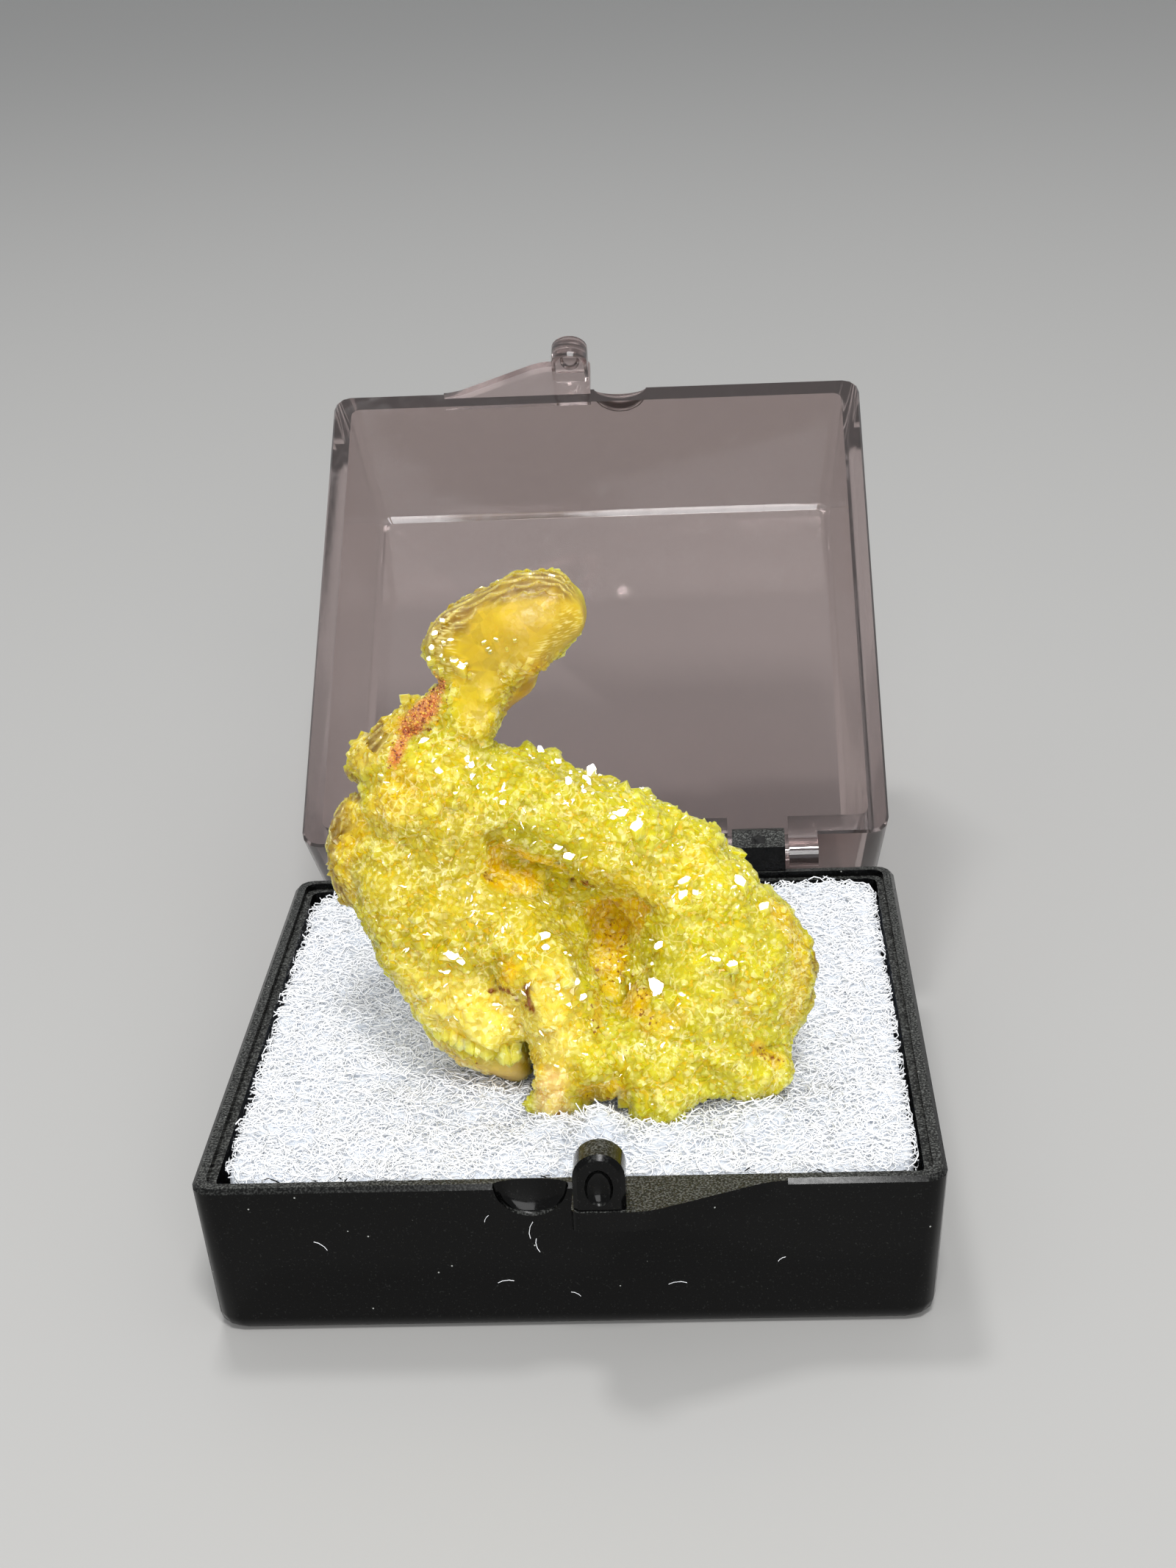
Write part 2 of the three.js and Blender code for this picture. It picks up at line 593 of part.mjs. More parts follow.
const CRYSTALS = 165;
const CRYSTAL_HALF_WIDTH = [0.75, 1.3];
const CRYSTAL_HALF_LENGTH = [0.8, 1.3];
const CRYSTAL_TILT = 0.5;       // how far a crystal strays from the surface's own direction
const CRYSTAL_SINK = 0.45;      // share of its half length that its middle lies below the surface
const CRYSTAL_FOOT_CLEAR = 1.2; // none grow this close to the pad
const SLIVER = 0.002;           // shortest edge that a join may leave

function surfacePicker(solid, random) {
  const mesh = solid.getMesh();
  const corner = (i) => new THREE.Vector3().fromArray(mesh.vertProperties, mesh.triVerts[i] * 3);
  const areas = [];
  let total = 0;
  for (let i = 0; i < mesh.triVerts.length; i += 3) {
    const triangle = new THREE.Triangle(corner(i), corner(i + 1), corner(i + 2));
    total += triangle.getArea();
    areas.push(total);
  }
  return () => {
    const want = random() * total;
    const index = areas.findIndex((area) => area >= want) * 3;
    const [a, b, c] = [corner(index), corner(index + 1), corner(index + 2)];
    const normal = new THREE.Triangle(a, b, c).getNormal(new THREE.Vector3());
    let u = random();
    let v = random();
    if (u + v > 1) [u, v] = [1 - u, 1 - v];
    const point = a.clone().addScaledVector(b.clone().sub(a), u).addScaledVector(c.clone().sub(a), v);
    return { point, normal };
  };
}

function crystalsOn(mass) {
  const random = seededRandom(29);
  const pick = surfacePicker(mass, random);
  const between = ([low, high]) => low + (high - low) * random();
  const shape = crystalGeometry();
  let grown = mass;
  let made = 0;
  while (made < CRYSTALS) {
    const { point, normal } = pick();
    const low = point.z < SPECIMEN_FOOT + CRYSTAL_FOOT_CLEAR;
    const aim = normal.clone();
    aim.x += CRYSTAL_TILT * (random() - 0.5) * 2;
    aim.y += CRYSTAL_TILT * (random() - 0.5) * 2;
    aim.z += CRYSTAL_TILT * (random() - 0.5) * 2;
    aim.normalize();
    const width = between(CRYSTAL_HALF_WIDTH);
    const length = between(CRYSTAL_HALF_LENGTH);
    const spin = random() * Math.PI;
    if (low || isSmooth(point)) continue;
    const turn = new THREE.Quaternion().setFromUnitVectors(new THREE.Vector3(0, 0, 1), aim);
    turn.multiply(new THREE.Quaternion().setFromAxisAngle(new THREE.Vector3(0, 0, 1), spin));
    const sink = point.clone().addScaledVector(normal, -length * CRYSTAL_SINK);
    const matrix = new THREE.Matrix4().compose(sink, turn, new THREE.Vector3(width, width, length));
    const joined = grown.add(toSolid(shape, matrix));
    if (shortestEdge(joined) < SLIVER) continue;
    grown = joined;
    made += 1;
  }
  return grown;
}

// Materials
const blackStyrene = new THREE.MeshStandardMaterial({ color: 0x0b0b0c, roughness: 0.22, metalness: 0 });
const clearStyrene = new THREE.MeshStandardMaterial({
  color: 0xd8ccd0, roughness: 0.08, metalness: 0, transparent: true, opacity: 0.35,
});
const whiteFibre = new THREE.MeshStandardMaterial({ color: 0xf1f3f6, roughness: 0.95, metalness: 0 });
const adamiteCrystal = new THREE.MeshStandardMaterial({
  color: 0xd3d233, roughness: 0.3, metalness: 0, flatShading: true,
});

function named(name, solid, material) {
  const mesh = new THREE.Mesh(toGeometry(solid), material);
  mesh.name = name;
  return mesh;
}

const box = new THREE.Group();
box.add(named('tray', trayBase(), blackStyrene));
box.add(named('pad', whitePad(), whiteFibre));
box.add(named('adamite', crystalsOn(grownMass()), adamiteCrystal));

const lidOnHinge = new THREE.Group();
lidOnHinge.position.set(0, HINGE_Y, HINGE_Z);
lidOnHinge.rotation.x = rad(-LID_OPEN);
lidOnHinge.add(named('lid', clearLid(), clearStyrene));
box.add(lidOnHinge);

export default box;
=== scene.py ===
# A yellow adamite crystal cluster on white fibre in a small hinged display box, lid open.
# Metres, +Z up, the latch side towards -Y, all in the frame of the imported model.

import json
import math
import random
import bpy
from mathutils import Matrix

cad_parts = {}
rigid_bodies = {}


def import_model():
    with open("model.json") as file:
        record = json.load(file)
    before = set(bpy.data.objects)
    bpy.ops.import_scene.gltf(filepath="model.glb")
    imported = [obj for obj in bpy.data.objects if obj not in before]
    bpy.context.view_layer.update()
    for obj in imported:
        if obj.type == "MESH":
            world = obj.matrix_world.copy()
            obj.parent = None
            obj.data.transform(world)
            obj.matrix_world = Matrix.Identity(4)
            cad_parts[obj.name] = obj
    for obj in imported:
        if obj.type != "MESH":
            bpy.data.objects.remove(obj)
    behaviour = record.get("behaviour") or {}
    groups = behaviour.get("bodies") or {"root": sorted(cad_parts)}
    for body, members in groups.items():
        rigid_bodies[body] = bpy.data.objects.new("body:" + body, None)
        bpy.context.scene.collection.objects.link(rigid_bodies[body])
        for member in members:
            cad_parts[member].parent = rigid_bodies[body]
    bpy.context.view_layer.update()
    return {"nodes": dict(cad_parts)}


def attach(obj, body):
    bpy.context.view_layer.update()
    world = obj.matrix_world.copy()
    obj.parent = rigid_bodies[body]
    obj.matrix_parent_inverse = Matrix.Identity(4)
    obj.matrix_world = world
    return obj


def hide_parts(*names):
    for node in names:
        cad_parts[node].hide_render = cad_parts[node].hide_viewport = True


bl_info = {
    "name": "Boxed adamite specimen",
    "version": (1, 0, 0),
    "blender": (4, 5, 0),
    "location": "View3D > Sidebar > Specimen",
    "description": "Builds a yellow adamite crystal cluster in its hinged display box",
    "category": "Add Mesh",
}

import bmesh
import bpy
import numpy as np
from mathutils import Euler, Matrix, Vector, noise

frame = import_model()

MM = 0.001

# The photograph's viewpoint, in millimetres and degrees, and how far from it the specimen stands
CAMERA_AT = (8.77, -135.75, 79.18)
CAMERA_DOWN = 21.963
CAMERA_YAW = -3.240
CAMERA_ROLL = -2.798
SUBJECT_AWAY = 141

# The long side of the camera's sensor in millimetres, and the photograph's size in pixels
LONG_SIDE = 36
FRAME_WIDTH = 1600
FRAME_HEIGHT = 2133

# Where the square lamps stand, the side of each and what they point at, in millimetres
KEY_AT, KEY_SIDE = (-100, 190, 565), 100
SPARK_AT, SPARK_SIDE = (40, -240, 430), 96
FILL_AT, FILL_SIDE = (150, -1000, 380), 650
LAMPS_AIM = (0, 5, 15)

# Half the side of the floor in metres, and how bright the room around it is
FLOOR_HALF = 3.0
ROOM_COLOUR = (0.96, 0.98, 1.0)
ROOM_STRENGTH = 0.5

# Edges sharper than these stay hard, in degrees
CRYSTAL_EDGE = 36
MOULDED_EDGE = 35


def linear(hex_colour):
    """An sRGB hex colour as linear red, green and blue."""
    parts = [int(hex_colour[i:i + 2], 16) / 255 for i in (1, 3, 5)]
    return tuple(c / 12.92 if c <= 0.04045 else ((c + 0.055) / 1.055) ** 2.4 for c in parts)


def opaque(colour):
    """Red, green and blue with a full alpha, for a colour socket."""
    return (*colour[:3], 1.0)


# Settings that a user would change
def colour_setting(name, description, hex_colour):
    """A colour that a user can change, with an sRGB hex colour as its default."""
    return bpy.props.FloatVectorProperty(
        name=name, description=description, subtype="COLOR", size=3, min=0, max=1,
        default=linear(hex_colour))


def length_setting(name, description, millimetres):
    """A length that a user can change, with its default in millimetres."""
    return bpy.props.FloatProperty(
        name=name, description=description, subtype="DISTANCE", unit="LENGTH", min=0,
        default=millimetres * MM)


class AdamiteSettings(bpy.types.PropertyGroup):
    grain: length_setting("Grain", "Face size of the mass under its crystals", 0.3)
    crystal_spacing: length_setting("Crystal spacing", "Least distance between crystal roots", 0.3)
    crystal_small: length_setting("Smallest crystal", "Half length of the smallest crystals", 0.17)
    crystal_large: length_setting("Largest crystal", "Half length of the largest crystals", 0.36)
    crystal_tilt: bpy.props.FloatProperty(
        name="Crystal tilt", description="How far crystals lean from the surface's direction",
        subtype="ANGLE", default=math.radians(12))
    seed: bpy.props.IntProperty(name="Seed", description="Start of the random numbers", default=11)
    triangles: bpy.props.IntProperty(
        name="Triangles", description="Most triangles in the finished mass", default=196000)
    lemon: colour_setting("Lemon", "Main colour of the crystals", "#CABE18")
    warm: colour_setting("Warm", "Warmer yellow of the left half", "#CAB61A")
    rust: colour_setting("Rust", "Thin iron stain in the deepest places", "#CDAA18")
    gold: colour_setting("Gold", "Deeper colour between the lemon patches", "#CEB410")
    cream: colour_setting("Cream", "Paler crystals low on the left", "#E8D24E")
    honey: colour_setting("Honey", "Head and left fans", "#C6A81E")
    saffron: colour_setting("Saffron", "Strong yellow patches at the left", "#D8B60C")
    # Painted glow: a brighter golden colour laid into the gaps between crystals
    painted_gap_glow: colour_setting("Glow", "Gaps where light comes out that has passed through crystals", "#E4C614")
    olive: colour_setting("Olive", "Scaled rim of the head and fans", "#7A5A0C")
    bud: colour_setting("Bud", "Brown bud behind the neck", "#B88E10")
    tan: colour_setting("Tan", "Smooth slab under the lip", "#E2BC68")
    # Painted shade: a deeper gold laid on the walls of the hollows where shade falls
    cave: colour_setting("Cave", "Stained walls of the hollows", "#EEC200")
    crack: colour_setting("Crack", "Dark iron oxide in the cracks", "#7A3808")
    iron: colour_setting("Iron", "Grains of the iron oxide strip", "#DB8A4C")
    iron_dark: colour_setting("Dark iron", "Darkest grains of the strip", "#7A3416")
    iron_grain: length_setting("Iron grain", "Size of the grains of the iron oxide strip", 0.14)
    # Painted highlight colour: laid on plate lips, crystal edges, a few facets, scale lips and needles
    painted_highlight: colour_setting("Pale", "Lips of plates and scales, needles", "#FFF7AC")


class PadSettings(bpy.types.PropertyGroup):
    grain: length_setting("Grain", "Face size of the wad under its fibres", 0.45)
    fibre_spacing: length_setting("Fibre spacing", "Least distance between fibres", 0.397)
    fibre_radius: length_setting("Fibre radius", "Radius of one fibre", 0.046)
    seed: bpy.props.IntProperty(name="Seed", description="Start of the random numbers", default=5)
    white: colour_setting("White", "Colour of the fibres", "#FFFFFF")
    shade: colour_setting("Shade", "Colour of the bluish patches of fibre", "#F4F7FC")
    # Painted shade: the darker bluish colour of the gaps between fibres
    deep: colour_setting("Deep", "Colour deep in the wad", "#C4CCD8")


class BoxSettings(bpy.types.PropertyGroup):
    black: colour_setting("Black", "Colour of the tray", "#040404")
    dust: colour_setting("Dust", "Colour of dust and scuffs", "#9A9C98")
    clear: colour_setting("Clear", "Colour of light that passes the lid", "#C0B0AE")


class StageSettings(bpy.types.PropertyGroup):
    floor: colour_setting("Floor", "Colour of the floor", "#A8A7A5")
    key_power: bpy.props.FloatProperty(
        name="Key light", description="Power of the lamp above", subtype="POWER", default=1.0)
    fill_power: bpy.props.FloatProperty(
        name="Fill light", description="Power of the soft front light", subtype="POWER", default=8.6)
    spark_power: bpy.props.FloatProperty(
        name="Spark light", description="Power of the small lamp in front", subtype="POWER", default=1.5)
    lens: bpy.props.FloatProperty(
        name="Lens", description="Focal length for a 36 mm long side", unit="CAMERA", default=57.03)


# Small tools for meshes and nodes
def add_node(tree, kind, sockets=None, **settings):
    """Adds a node with its settings; a socket's value that is an output becomes a link."""
    node = tree.nodes.new(kind)
    for name, value in settings.items():
        setattr(node, name, value)
    for name, value in (sockets or {}).items():
        if isinstance(value, bpy.types.NodeSocket):
            tree.links.new(value, node.inputs[name])
        else:
            node.inputs[name].default_value = value
    return node


def new_material(name):
    """A material without nodes, and its tree."""
    material = bpy.data.materials.new(name)
    material.use_nodes = True
    material.node_tree.nodes.clear()
    return material, material.node_tree


def geometry_tree(name, inputs):
    """A Geometry Nodes tree with a mesh in, a mesh out and named inputs for its sizes."""
    tree = bpy.data.node_groups.new(name, "GeometryNodeTree")
    tree.interface.new_socket("Geometry", in_out="INPUT", socket_type="NodeSocketGeometry")
    tree.interface.new_socket("Geometry", in_out="OUTPUT", socket_type="NodeSocketGeometry")
    for label, kind in inputs.items():
        tree.interface.new_socket(label, in_out="INPUT", socket_type=kind)
    return tree, add_node(tree, "NodeGroupInput").outputs


def root_points(tree, given, layer):
    """Points spread over the mesh where a layer is strong, no closer together than the spacing."""
    strength = add_node(tree, "GeometryNodeInputNamedAttribute", {"Name": layer}, data_type="FLOAT")
    density = add_node(tree, "ShaderNodeMath", {0: 1.4, 1: given["Spacing"]}, operation="DIVIDE")
    squared = add_node(tree, "ShaderNodeMath", {0: density.outputs[0], 1: 2.0}, operation="POWER")
    return add_node(tree, "GeometryNodeDistributePointsOnFaces", {
        "Mesh": given["Geometry"],
        "Distance Min": given["Spacing"],
        "Density Max": squared.outputs[0],
        "Density Factor": strength.outputs["Attribute"],
        "Seed": given["Seed"],
    }, distribute_method="POISSON")


def end_tree(tree, geometry, material):
    """Ends a geometry tree: instances made real, then the material."""
    real = add_node(tree, "GeometryNodeRealizeInstances", {0: geometry})
    dressed = add_node(tree, "GeometryNodeSetMaterial", {"Geometry": real.outputs[0], "Material": material})
    add_node(tree, "NodeGroupOutput", {0: dressed.outputs[0]})


def run_tree(obj, tree, values):
    """Runs the tree on the object with these input values, and keeps the result as its mesh."""
    modifier = obj.modifiers.new(tree.name, "NODES")
    modifier.node_group = tree
    for item in tree.interface.items_tree:
        if item.in_out == "INPUT" and item.name in values:
            modifier[item.identifier] = values[item.name]
    settle(obj)


def settle(obj):
    """Takes the evaluated mesh as the object's own, and removes the modifiers."""
    depsgraph = bpy.context.evaluated_depsgraph_get()
    mesh = bpy.data.meshes.new_from_object(obj.evaluated_get(depsgraph))
    obj.modifiers.clear()
    obj.data = mesh
    mesh.name = obj.name


def new_object(name, mesh):
    """An object of this mesh, in the scene."""
    obj = bpy.data.objects.new(name, mesh)
    bpy.context.scene.collection.objects.link(obj)
    return obj


def merged_copy(node, name):
    """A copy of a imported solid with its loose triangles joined."""
    shape = bmesh.new()
    shape.from_mesh(frame["nodes"][node].data)
    bmesh.ops.remove_doubles(shape, verts=shape.verts, dist=0.001 * MM)
    mesh = bpy.data.meshes.new(name)
    shape.to_mesh(mesh)
    shape.free()
    mesh.materials.clear()
    return new_object(name, mesh)


def shade_by_angle(mesh, degrees):
    """Smooth shading, with edges sharper than the angle left hard."""
    limit = math.radians(degrees)
    shape = bmesh.new()
    shape.from_mesh(mesh)
    for face in shape.faces:
        face.smooth = True
    for edge in shape.edges:
        edge.smooth = len(edge.link_faces) == 2 and edge.calc_face_angle(0) < limit
    shape.to_mesh(mesh)
    shape.free()


def points_of(mesh):
    flat = np.empty(len(mesh.vertices) * 3, np.float32)
    mesh.vertices.foreach_get("co", flat)
    return flat.reshape(-1, 3).astype(float)


def normals_of(mesh):
    flat = np.empty(len(mesh.vertices) * 3, np.float32)
    mesh.vertex_normals.foreach_get("vector", flat)
    return flat.reshape(-1, 3).astype(float)


def set_points(mesh, points):
    mesh.vertices.foreach_set("co", points.astype(np.float32).ravel())
    mesh.update()


def set_layer(mesh, name, values):
    """A float for each vertex, under a name that nodes read."""
    layer = mesh.attributes.get(name) or mesh.attributes.new(name, "FLOAT", "POINT")
    layer.data.foreach_set("value", values.astype(np.float32))


def smooth_faces(mesh):
    """Smooth shading all over."""
    for face in mesh.polygons:
        face.use_smooth = True


def triangle_count(mesh):
    """How many triangles the mesh's faces make."""
    return sum(len(face.vertices) - 2 for face in mesh.polygons)


def finish_piece(obj, body, replaced=None):
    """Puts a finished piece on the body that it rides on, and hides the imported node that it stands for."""
    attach(obj, body)
    if replaced:
        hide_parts(replaced)


def noise_of(points, size, offset=0.0):
    """Smooth noise at each point, from -1 to 1, with lumps of about this size in metres."""
    return np.array([noise.noise(Vector(p) / size + Vector((offset, 0, 0))) for p in points])


# Where the specimen's surface changes. Each stroke gives its reach in millimetres and then the spots
# that it runs through, in pixels of the 1600 x 2133 frame, laid on the surface as the camera sees it.
ZONES = {
    "warm": [
        (4.6, (560, 1150), (590, 1290), (680, 1380)),
        (3.0, (640, 1200), (700, 1270)),
        (1.2, (770, 1240), (770, 1330), (790, 1400)),
    ],
    "gold": [
        (1.0, (515, 1110), (560, 1085)),
        (0.7, (880, 1395), (920, 1380)),
        (1.0, (800, 1190), (880, 1225)),
        (1.1, (650, 888), (705, 878)),
        (1.4, (660, 925), (655, 985)),
    ],
    "cream": [
        (2.2, (580, 1370), (690, 1390)),
        (1.4, (750, 1340), (755, 1420)),
    ],
    "honey": [
        (3.2, (640, 850), (760, 830)),
        (2.0, (500, 1010), (560, 960)),
        (0.9, (1095, 1300), (1085, 1380)),
    ],
    "saffron": [
        (1.1, (520, 1090), (545, 1060)),
        (1.2, (478, 1110), (465, 1210)),
        (0.9, (1060, 1240), (1095, 1290)),
    ],
    "bud": [
        (1.2, (730, 918), (705, 968)),
    ],
    "tan": [
        (1.3, (610, 1435), (700, 1465)),
        (1.2, (745, 1480), (750, 1520)),
    ],
    # The hollows' zone below carries painted shade, a deeper gold
    "cave": [
        (1.0, (670, 1175), (760, 1180)),
        (0.8, (680, 1200), (720, 1195)),
        (1.3, (815, 1240), (860, 1235)),
        (1.2, (840, 1270), (830, 1310)),
        (0.8, (825, 1350), (870, 1365)),
        (0.5, (1025, 1425), (1055, 1440)),
        (0.8, (805, 1482), (840, 1488)),
        (0.7, (725, 1440), (728, 1455)),
        (0.6, (690, 1320), (685, 1340)),
    ],
    "speck": [
        (1.4, (840, 1280), (830, 1320)),
        (0.8, (810, 1350), (812, 1390)),
        (0.8, (865, 1340), (890, 1390)),
        (0.9, (610, 930), (540, 1030)),
        (0.6, (1030, 1425), (1055, 1440)),
        (0.6, (805, 1490), (845, 1495)),
    ],
    "crack": [
        (0.2, (668, 1348), (682, 1346), (692, 1350)),
        (0.16, (690, 1346), (705, 1362), (722, 1374)),
        (0.24, (717, 1344), (719, 1360), (724, 1374)),
        (0.22, (777, 1196), (797, 1202), (808, 1206)),
        (0.1, (660, 1190), (668, 1198)),
        (0.1, (1035, 1432), (1052, 1438)),
        (0.09, (810, 1318), (822, 1326)),
        (0.09, (860, 1330), (868, 1350)),
    ],
    "rust": [
        (0.4, (690, 1340), (722, 1368)),
        (0.4, (665, 1195), (700, 1205)),
        (0.3, (812, 1350), (814, 1385)),
        (0.25, (862, 1340), (885, 1375)),
        (0.6, (815, 1488), (842, 1498)),
        (0.35, (1030, 1425), (1055, 1438)),
        (0.5, (722, 1450), (730, 1440)),
    ],
    "iron": [
        (0.85, (597, 936), (580, 965), (558, 990)),
        (0.62, (556, 992), (540, 1022)),
    ],
    "streak": [
        (1.1, (605, 850), (600, 900)),
        (0.8, (740, 880), (775, 850)),
        (0.9, (735, 1480), (740, 1520)),
        (1.0, (1080, 1330), (1085, 1370)),
    ],
}

# Where the surface is smooth, and carries few crystals or none, in the same way
SMOOTH_ZONES = [
    (1.0, (655, 920), (645, 960)),
    (2.6, (625, 870), (690, 835), (775, 835)),
    (1.6, (785, 800), (790, 850)),
    (1.3, (610, 1435), (700, 1465)),
    (1.3, (730, 918), (705, 968)),
]

# Round forms with rows of overlapping scales near their edges: middle, half sizes, lean in degrees,
# and the first and last angle of the rows around the form, anticlockwise from its right end. Then the
# width of a row and the arc of a scale in degrees, and how far a scale stands up in millimetres.
SCALED_FORMS = [
    ((-2.5, -4.0, 35.5), (5.0, 3.2, 2.75), -27, (-5, 165)),
    ((-8.7, -4.2, 30.5), (2.2, 2.4, 1.9), -30, (40, 260)),
    ((-10.8, -4.2, 28.3), (2.6, 2.6, 2.2), 0, (90, 290)),
    ((-12.2, -5.2, 22.4), (1.9, 2.6, 3.0), 0, (80, 280)),
    ((12.6, -6.6, 16.0), (1.9, 3.0, 3.6), 0, (-80, 80)),
]
SCALE_ROW = 13
SCALE_ARC = 20
SCALE_RISE = 0.11

# The skin's low relief: soft lumps, and growth terraces with their spacing, all in millimetres
SKIN_RISE = 0.05
LUMP_RISE = 0.08
TERRACE_EVERY = 2.3
TERRACE_RISE = 0.24

# Large flat crystal faces that flash under the lamp: pixels across and down, half width in millimetres
FLASH_FACES = [
    (863, 1123, 0.42), (846, 1108, 0.3), (870, 1109, 0.16), (761, 1148, 0.22), (777, 1162, 0.26),
    (932, 1198, 0.3), (929, 1216, 0.42), (946, 1215, 0.2), (1002, 1200, 0.42), (1037, 1235, 0.3),
    (900, 1285, 0.26), (947, 1276, 0.26), (990, 1310, 0.34), (975, 1305, 0.2), (986, 1322, 0.2),
    (897, 1342, 0.42), (915, 1352, 0.5), (930, 1350, 0.26), (1047, 1353, 0.24), (1026, 1366, 0.24),
    (937, 1419, 0.26), (946, 1428, 0.26), (968, 1397, 0.16), (737, 1277, 0.4), (743, 1291, 0.18),
    (626, 1305, 0.24), (615, 1297, 0.3), (607, 1317, 0.22), (768, 1361, 0.3), (788, 1357, 0.26),
    (781, 1335, 0.18), (615, 1085, 0.3), (620, 1075, 0.2), (804, 1053, 0.36), (796, 1062, 0.2),
    (772, 1064, 0.2), (736, 1021, 0.22), (757, 1034, 0.16), (628, 903, 0.34), (620, 896, 0.2),
    (590, 893, 0.22), (594, 862, 0.16), (578, 1010, 0.26), (599, 1050, 0.22), (567, 1034, 0.2),
    (590, 880, 0.18), (603, 845, 0.16), (612, 868, 0.14), (601, 905, 0.18), (640, 915, 0.14),
    (660, 872, 0.1), (676, 868, 0.1), (690, 880, 0.1), (668, 884, 0.1), (700, 868, 0.1),
    (524, 1050, 0.2), (686, 1092, 0.16), (650, 1071, 0.16), (640, 1040, 0.16), (1000, 1232, 0.18),
]

# Narrow glints strewn over the body: how many, the field of pixels that they are drawn from, and the
# middles and half sizes of the two ovals that hold them
GLINTS = 130
GLINT_ACROSS = (450, 1110)
GLINT_DOWN = (960, 1540)
GLINT_OVALS = [((780, 1270), (290, 200)), ((600, 1100), (90, 110))]

# Where small flashing faces crowd together: pixels across and down, half width in pixels, and how many
GLITTER = [
    (785, 1062, 42, 14), (856, 1114, 30, 10), (622, 893, 34, 10), (925, 1205, 30, 7),
    (1000, 1205, 24, 6), (905, 1345, 30, 6), (640, 1045, 30, 6), (765, 1350, 30, 7),
    (945, 1415, 26, 6),
]

# Deep hollows cut into the mass: middle, half sizes and lean, in millimetres and degrees
HOLLOWS = [
    ((-1.9, -8.6, 21.9), (2.9, 3.8, 0.85), 9),
    ((2.2, -7.8, 17.9), (1.6, 4.3, 2.1), 8),
    ((0.7, -7.2, 20.6), (1.5, 2.6, 0.5), 22),
    ((-3.2, -11.6, 16.0), (1.2, 1.7, 0.3), 20),
    ((-2.5, -12.2, 16.6), (0.26, 1.7, 1.1), -20),
    ((-5.4, -11.6, 11.2), (3.6, 1.7, 1.0), 12),
    ((-2.5, -11.6, 11.4), (0.8, 2.6, 0.9), 0),
    ((1.1, -13.8, 10.4), (1.1, 1.8, 1.3), 0),
    ((11.6, -11.6, 12.2), (1.9, 2.0, 0.42), 16),
    ((-11.0, -9.4, 23.2), (0.34, 2.4, 3.2), 0),
]

# Small moves of the surface: place, reach and move, in millimetres
NUDGES = [
    ((1.4, -4.0, 38.1), 1.6, (-0.35, 0.0, -0.35)),
    ((-1.8, -3.5, 31.5), 1.0, (0.9, 0.0, -0.2)),
    ((-3.4, -5.0, 29.6), 1.0, (-0.8, 0.0, -0.3)),
    ((-8.9, -4.2, 31.7), 1.7, (0.3, 0.0, -0.45)),
    ((-11.1, -4.2, 30.0), 1.7, (0.35, 0.0, -0.35)),
    ((-12.3, -5.0, 25.7), 1.0, (-0.4, 0.0, 0.4)),
    ((-0.6, -5.6, 28.6), 1.2, (-0.1, 0.0, -0.25)),
    ((4.5, -5.6, 25.9), 1.1, (0.0, 0.0, -0.5)),
    ((7.6, -6.0, 24.6), 0.9, (0.1, 0.0, 0.35)),
    ((9.8, -6.0, 22.4), 1.3, (-0.4, 0.0, -0.35)),
    ((12.2, -6.0, 19.4), 1.4, (-0.2, 0.0, -0.15)),
    ((13.4, -7.5, 11.9), 1.2, (-0.5, 0.0, 0.1)),
    ((12.6, -9.0, 9.7), 0.9, (-0.5, 0.0, 0.2)),
    ((10.0, -12.0, 9.8), 1.8, (0.0, -0.3, -0.4)),
    ((4.3, -13.3, 9.6), 1.6, (0.0, -0.6, -0.4)),
    ((2.3, -12.5, 10.6), 1.0, (0.0, -0.4, -0.3)),
    ((-3.6, -8.2, 10.6), 1.4, (0.6, -0.3, -0.8)),
    ((-9.3, -8.5, 14.3), 1.8, (-0.35, 0.0, -0.25)),
    ((1.8, -6.8, 14.4), 1.5, (0.0, -2.4, 0.0)),
]

# The toothed lip over the smooth slab: the line that its crystals follow, in millimetres
LIP = [
    (-8.4, -9.4, 13.4), (-6.6, -10.2, 12.8), (-5.0, -10.7, 12.3), (-3.7, -10.8, 11.9),
    (-2.9, -10.6, 11.6),
]
LIP_TEETH = 17


def zone_weight(points, strokes, fade=None):
    """How much each point is in any of the strokes, from 0 to 1. Reach and fade are in millimetres."""
    weight = np.zeros(len(points))
    for reach, *line in strokes:
        soft = fade or min(1.6, 0.8 * reach)
        for start, end in zip(line, line[1:]):
            a = np.array(start)
            along = np.array(end) - a
            share = np.clip((points - a) @ along / max(along @ along, 1e-12), 0, 1)
            distance = np.linalg.norm(points - a - share[:, None] * along, axis=1) / MM
            step = np.clip((reach + soft / 2 - distance) / soft, 0, 1)
            weight = np.maximum(weight, step * step * (3 - 2 * step))
    return weight


def on_surface(mass, across, down):
    """Where the camera's line of sight through this spot of the frame meets the mass, and the normal."""
    ahead, right, up = camera_axes()
    focal = bpy.context.scene.stage.lens / LONG_SIDE * FRAME_HEIGHT
    sight = ahead + right * (across - FRAME_WIDTH / 2) / focal - up * (down - FRAME_HEIGHT / 2) / focal
    eye = Vector(CAMERA_AT) * MM
    hit, at, normal, _ = mass.ray_cast(eye, sight.normalized())
    if not hit:
        _, at, normal, _ = mass.closest_point_on_mesh(eye + sight.normalized() * SUBJECT_AWAY * MM)
    return at, normal


def laid_on(mass, strokes):
    """The strokes with their spots laid on the surface, in metres."""
    return [(reach, *(on_surface(mass, *spot)[0] for spot in line)) for reach, *line in strokes]


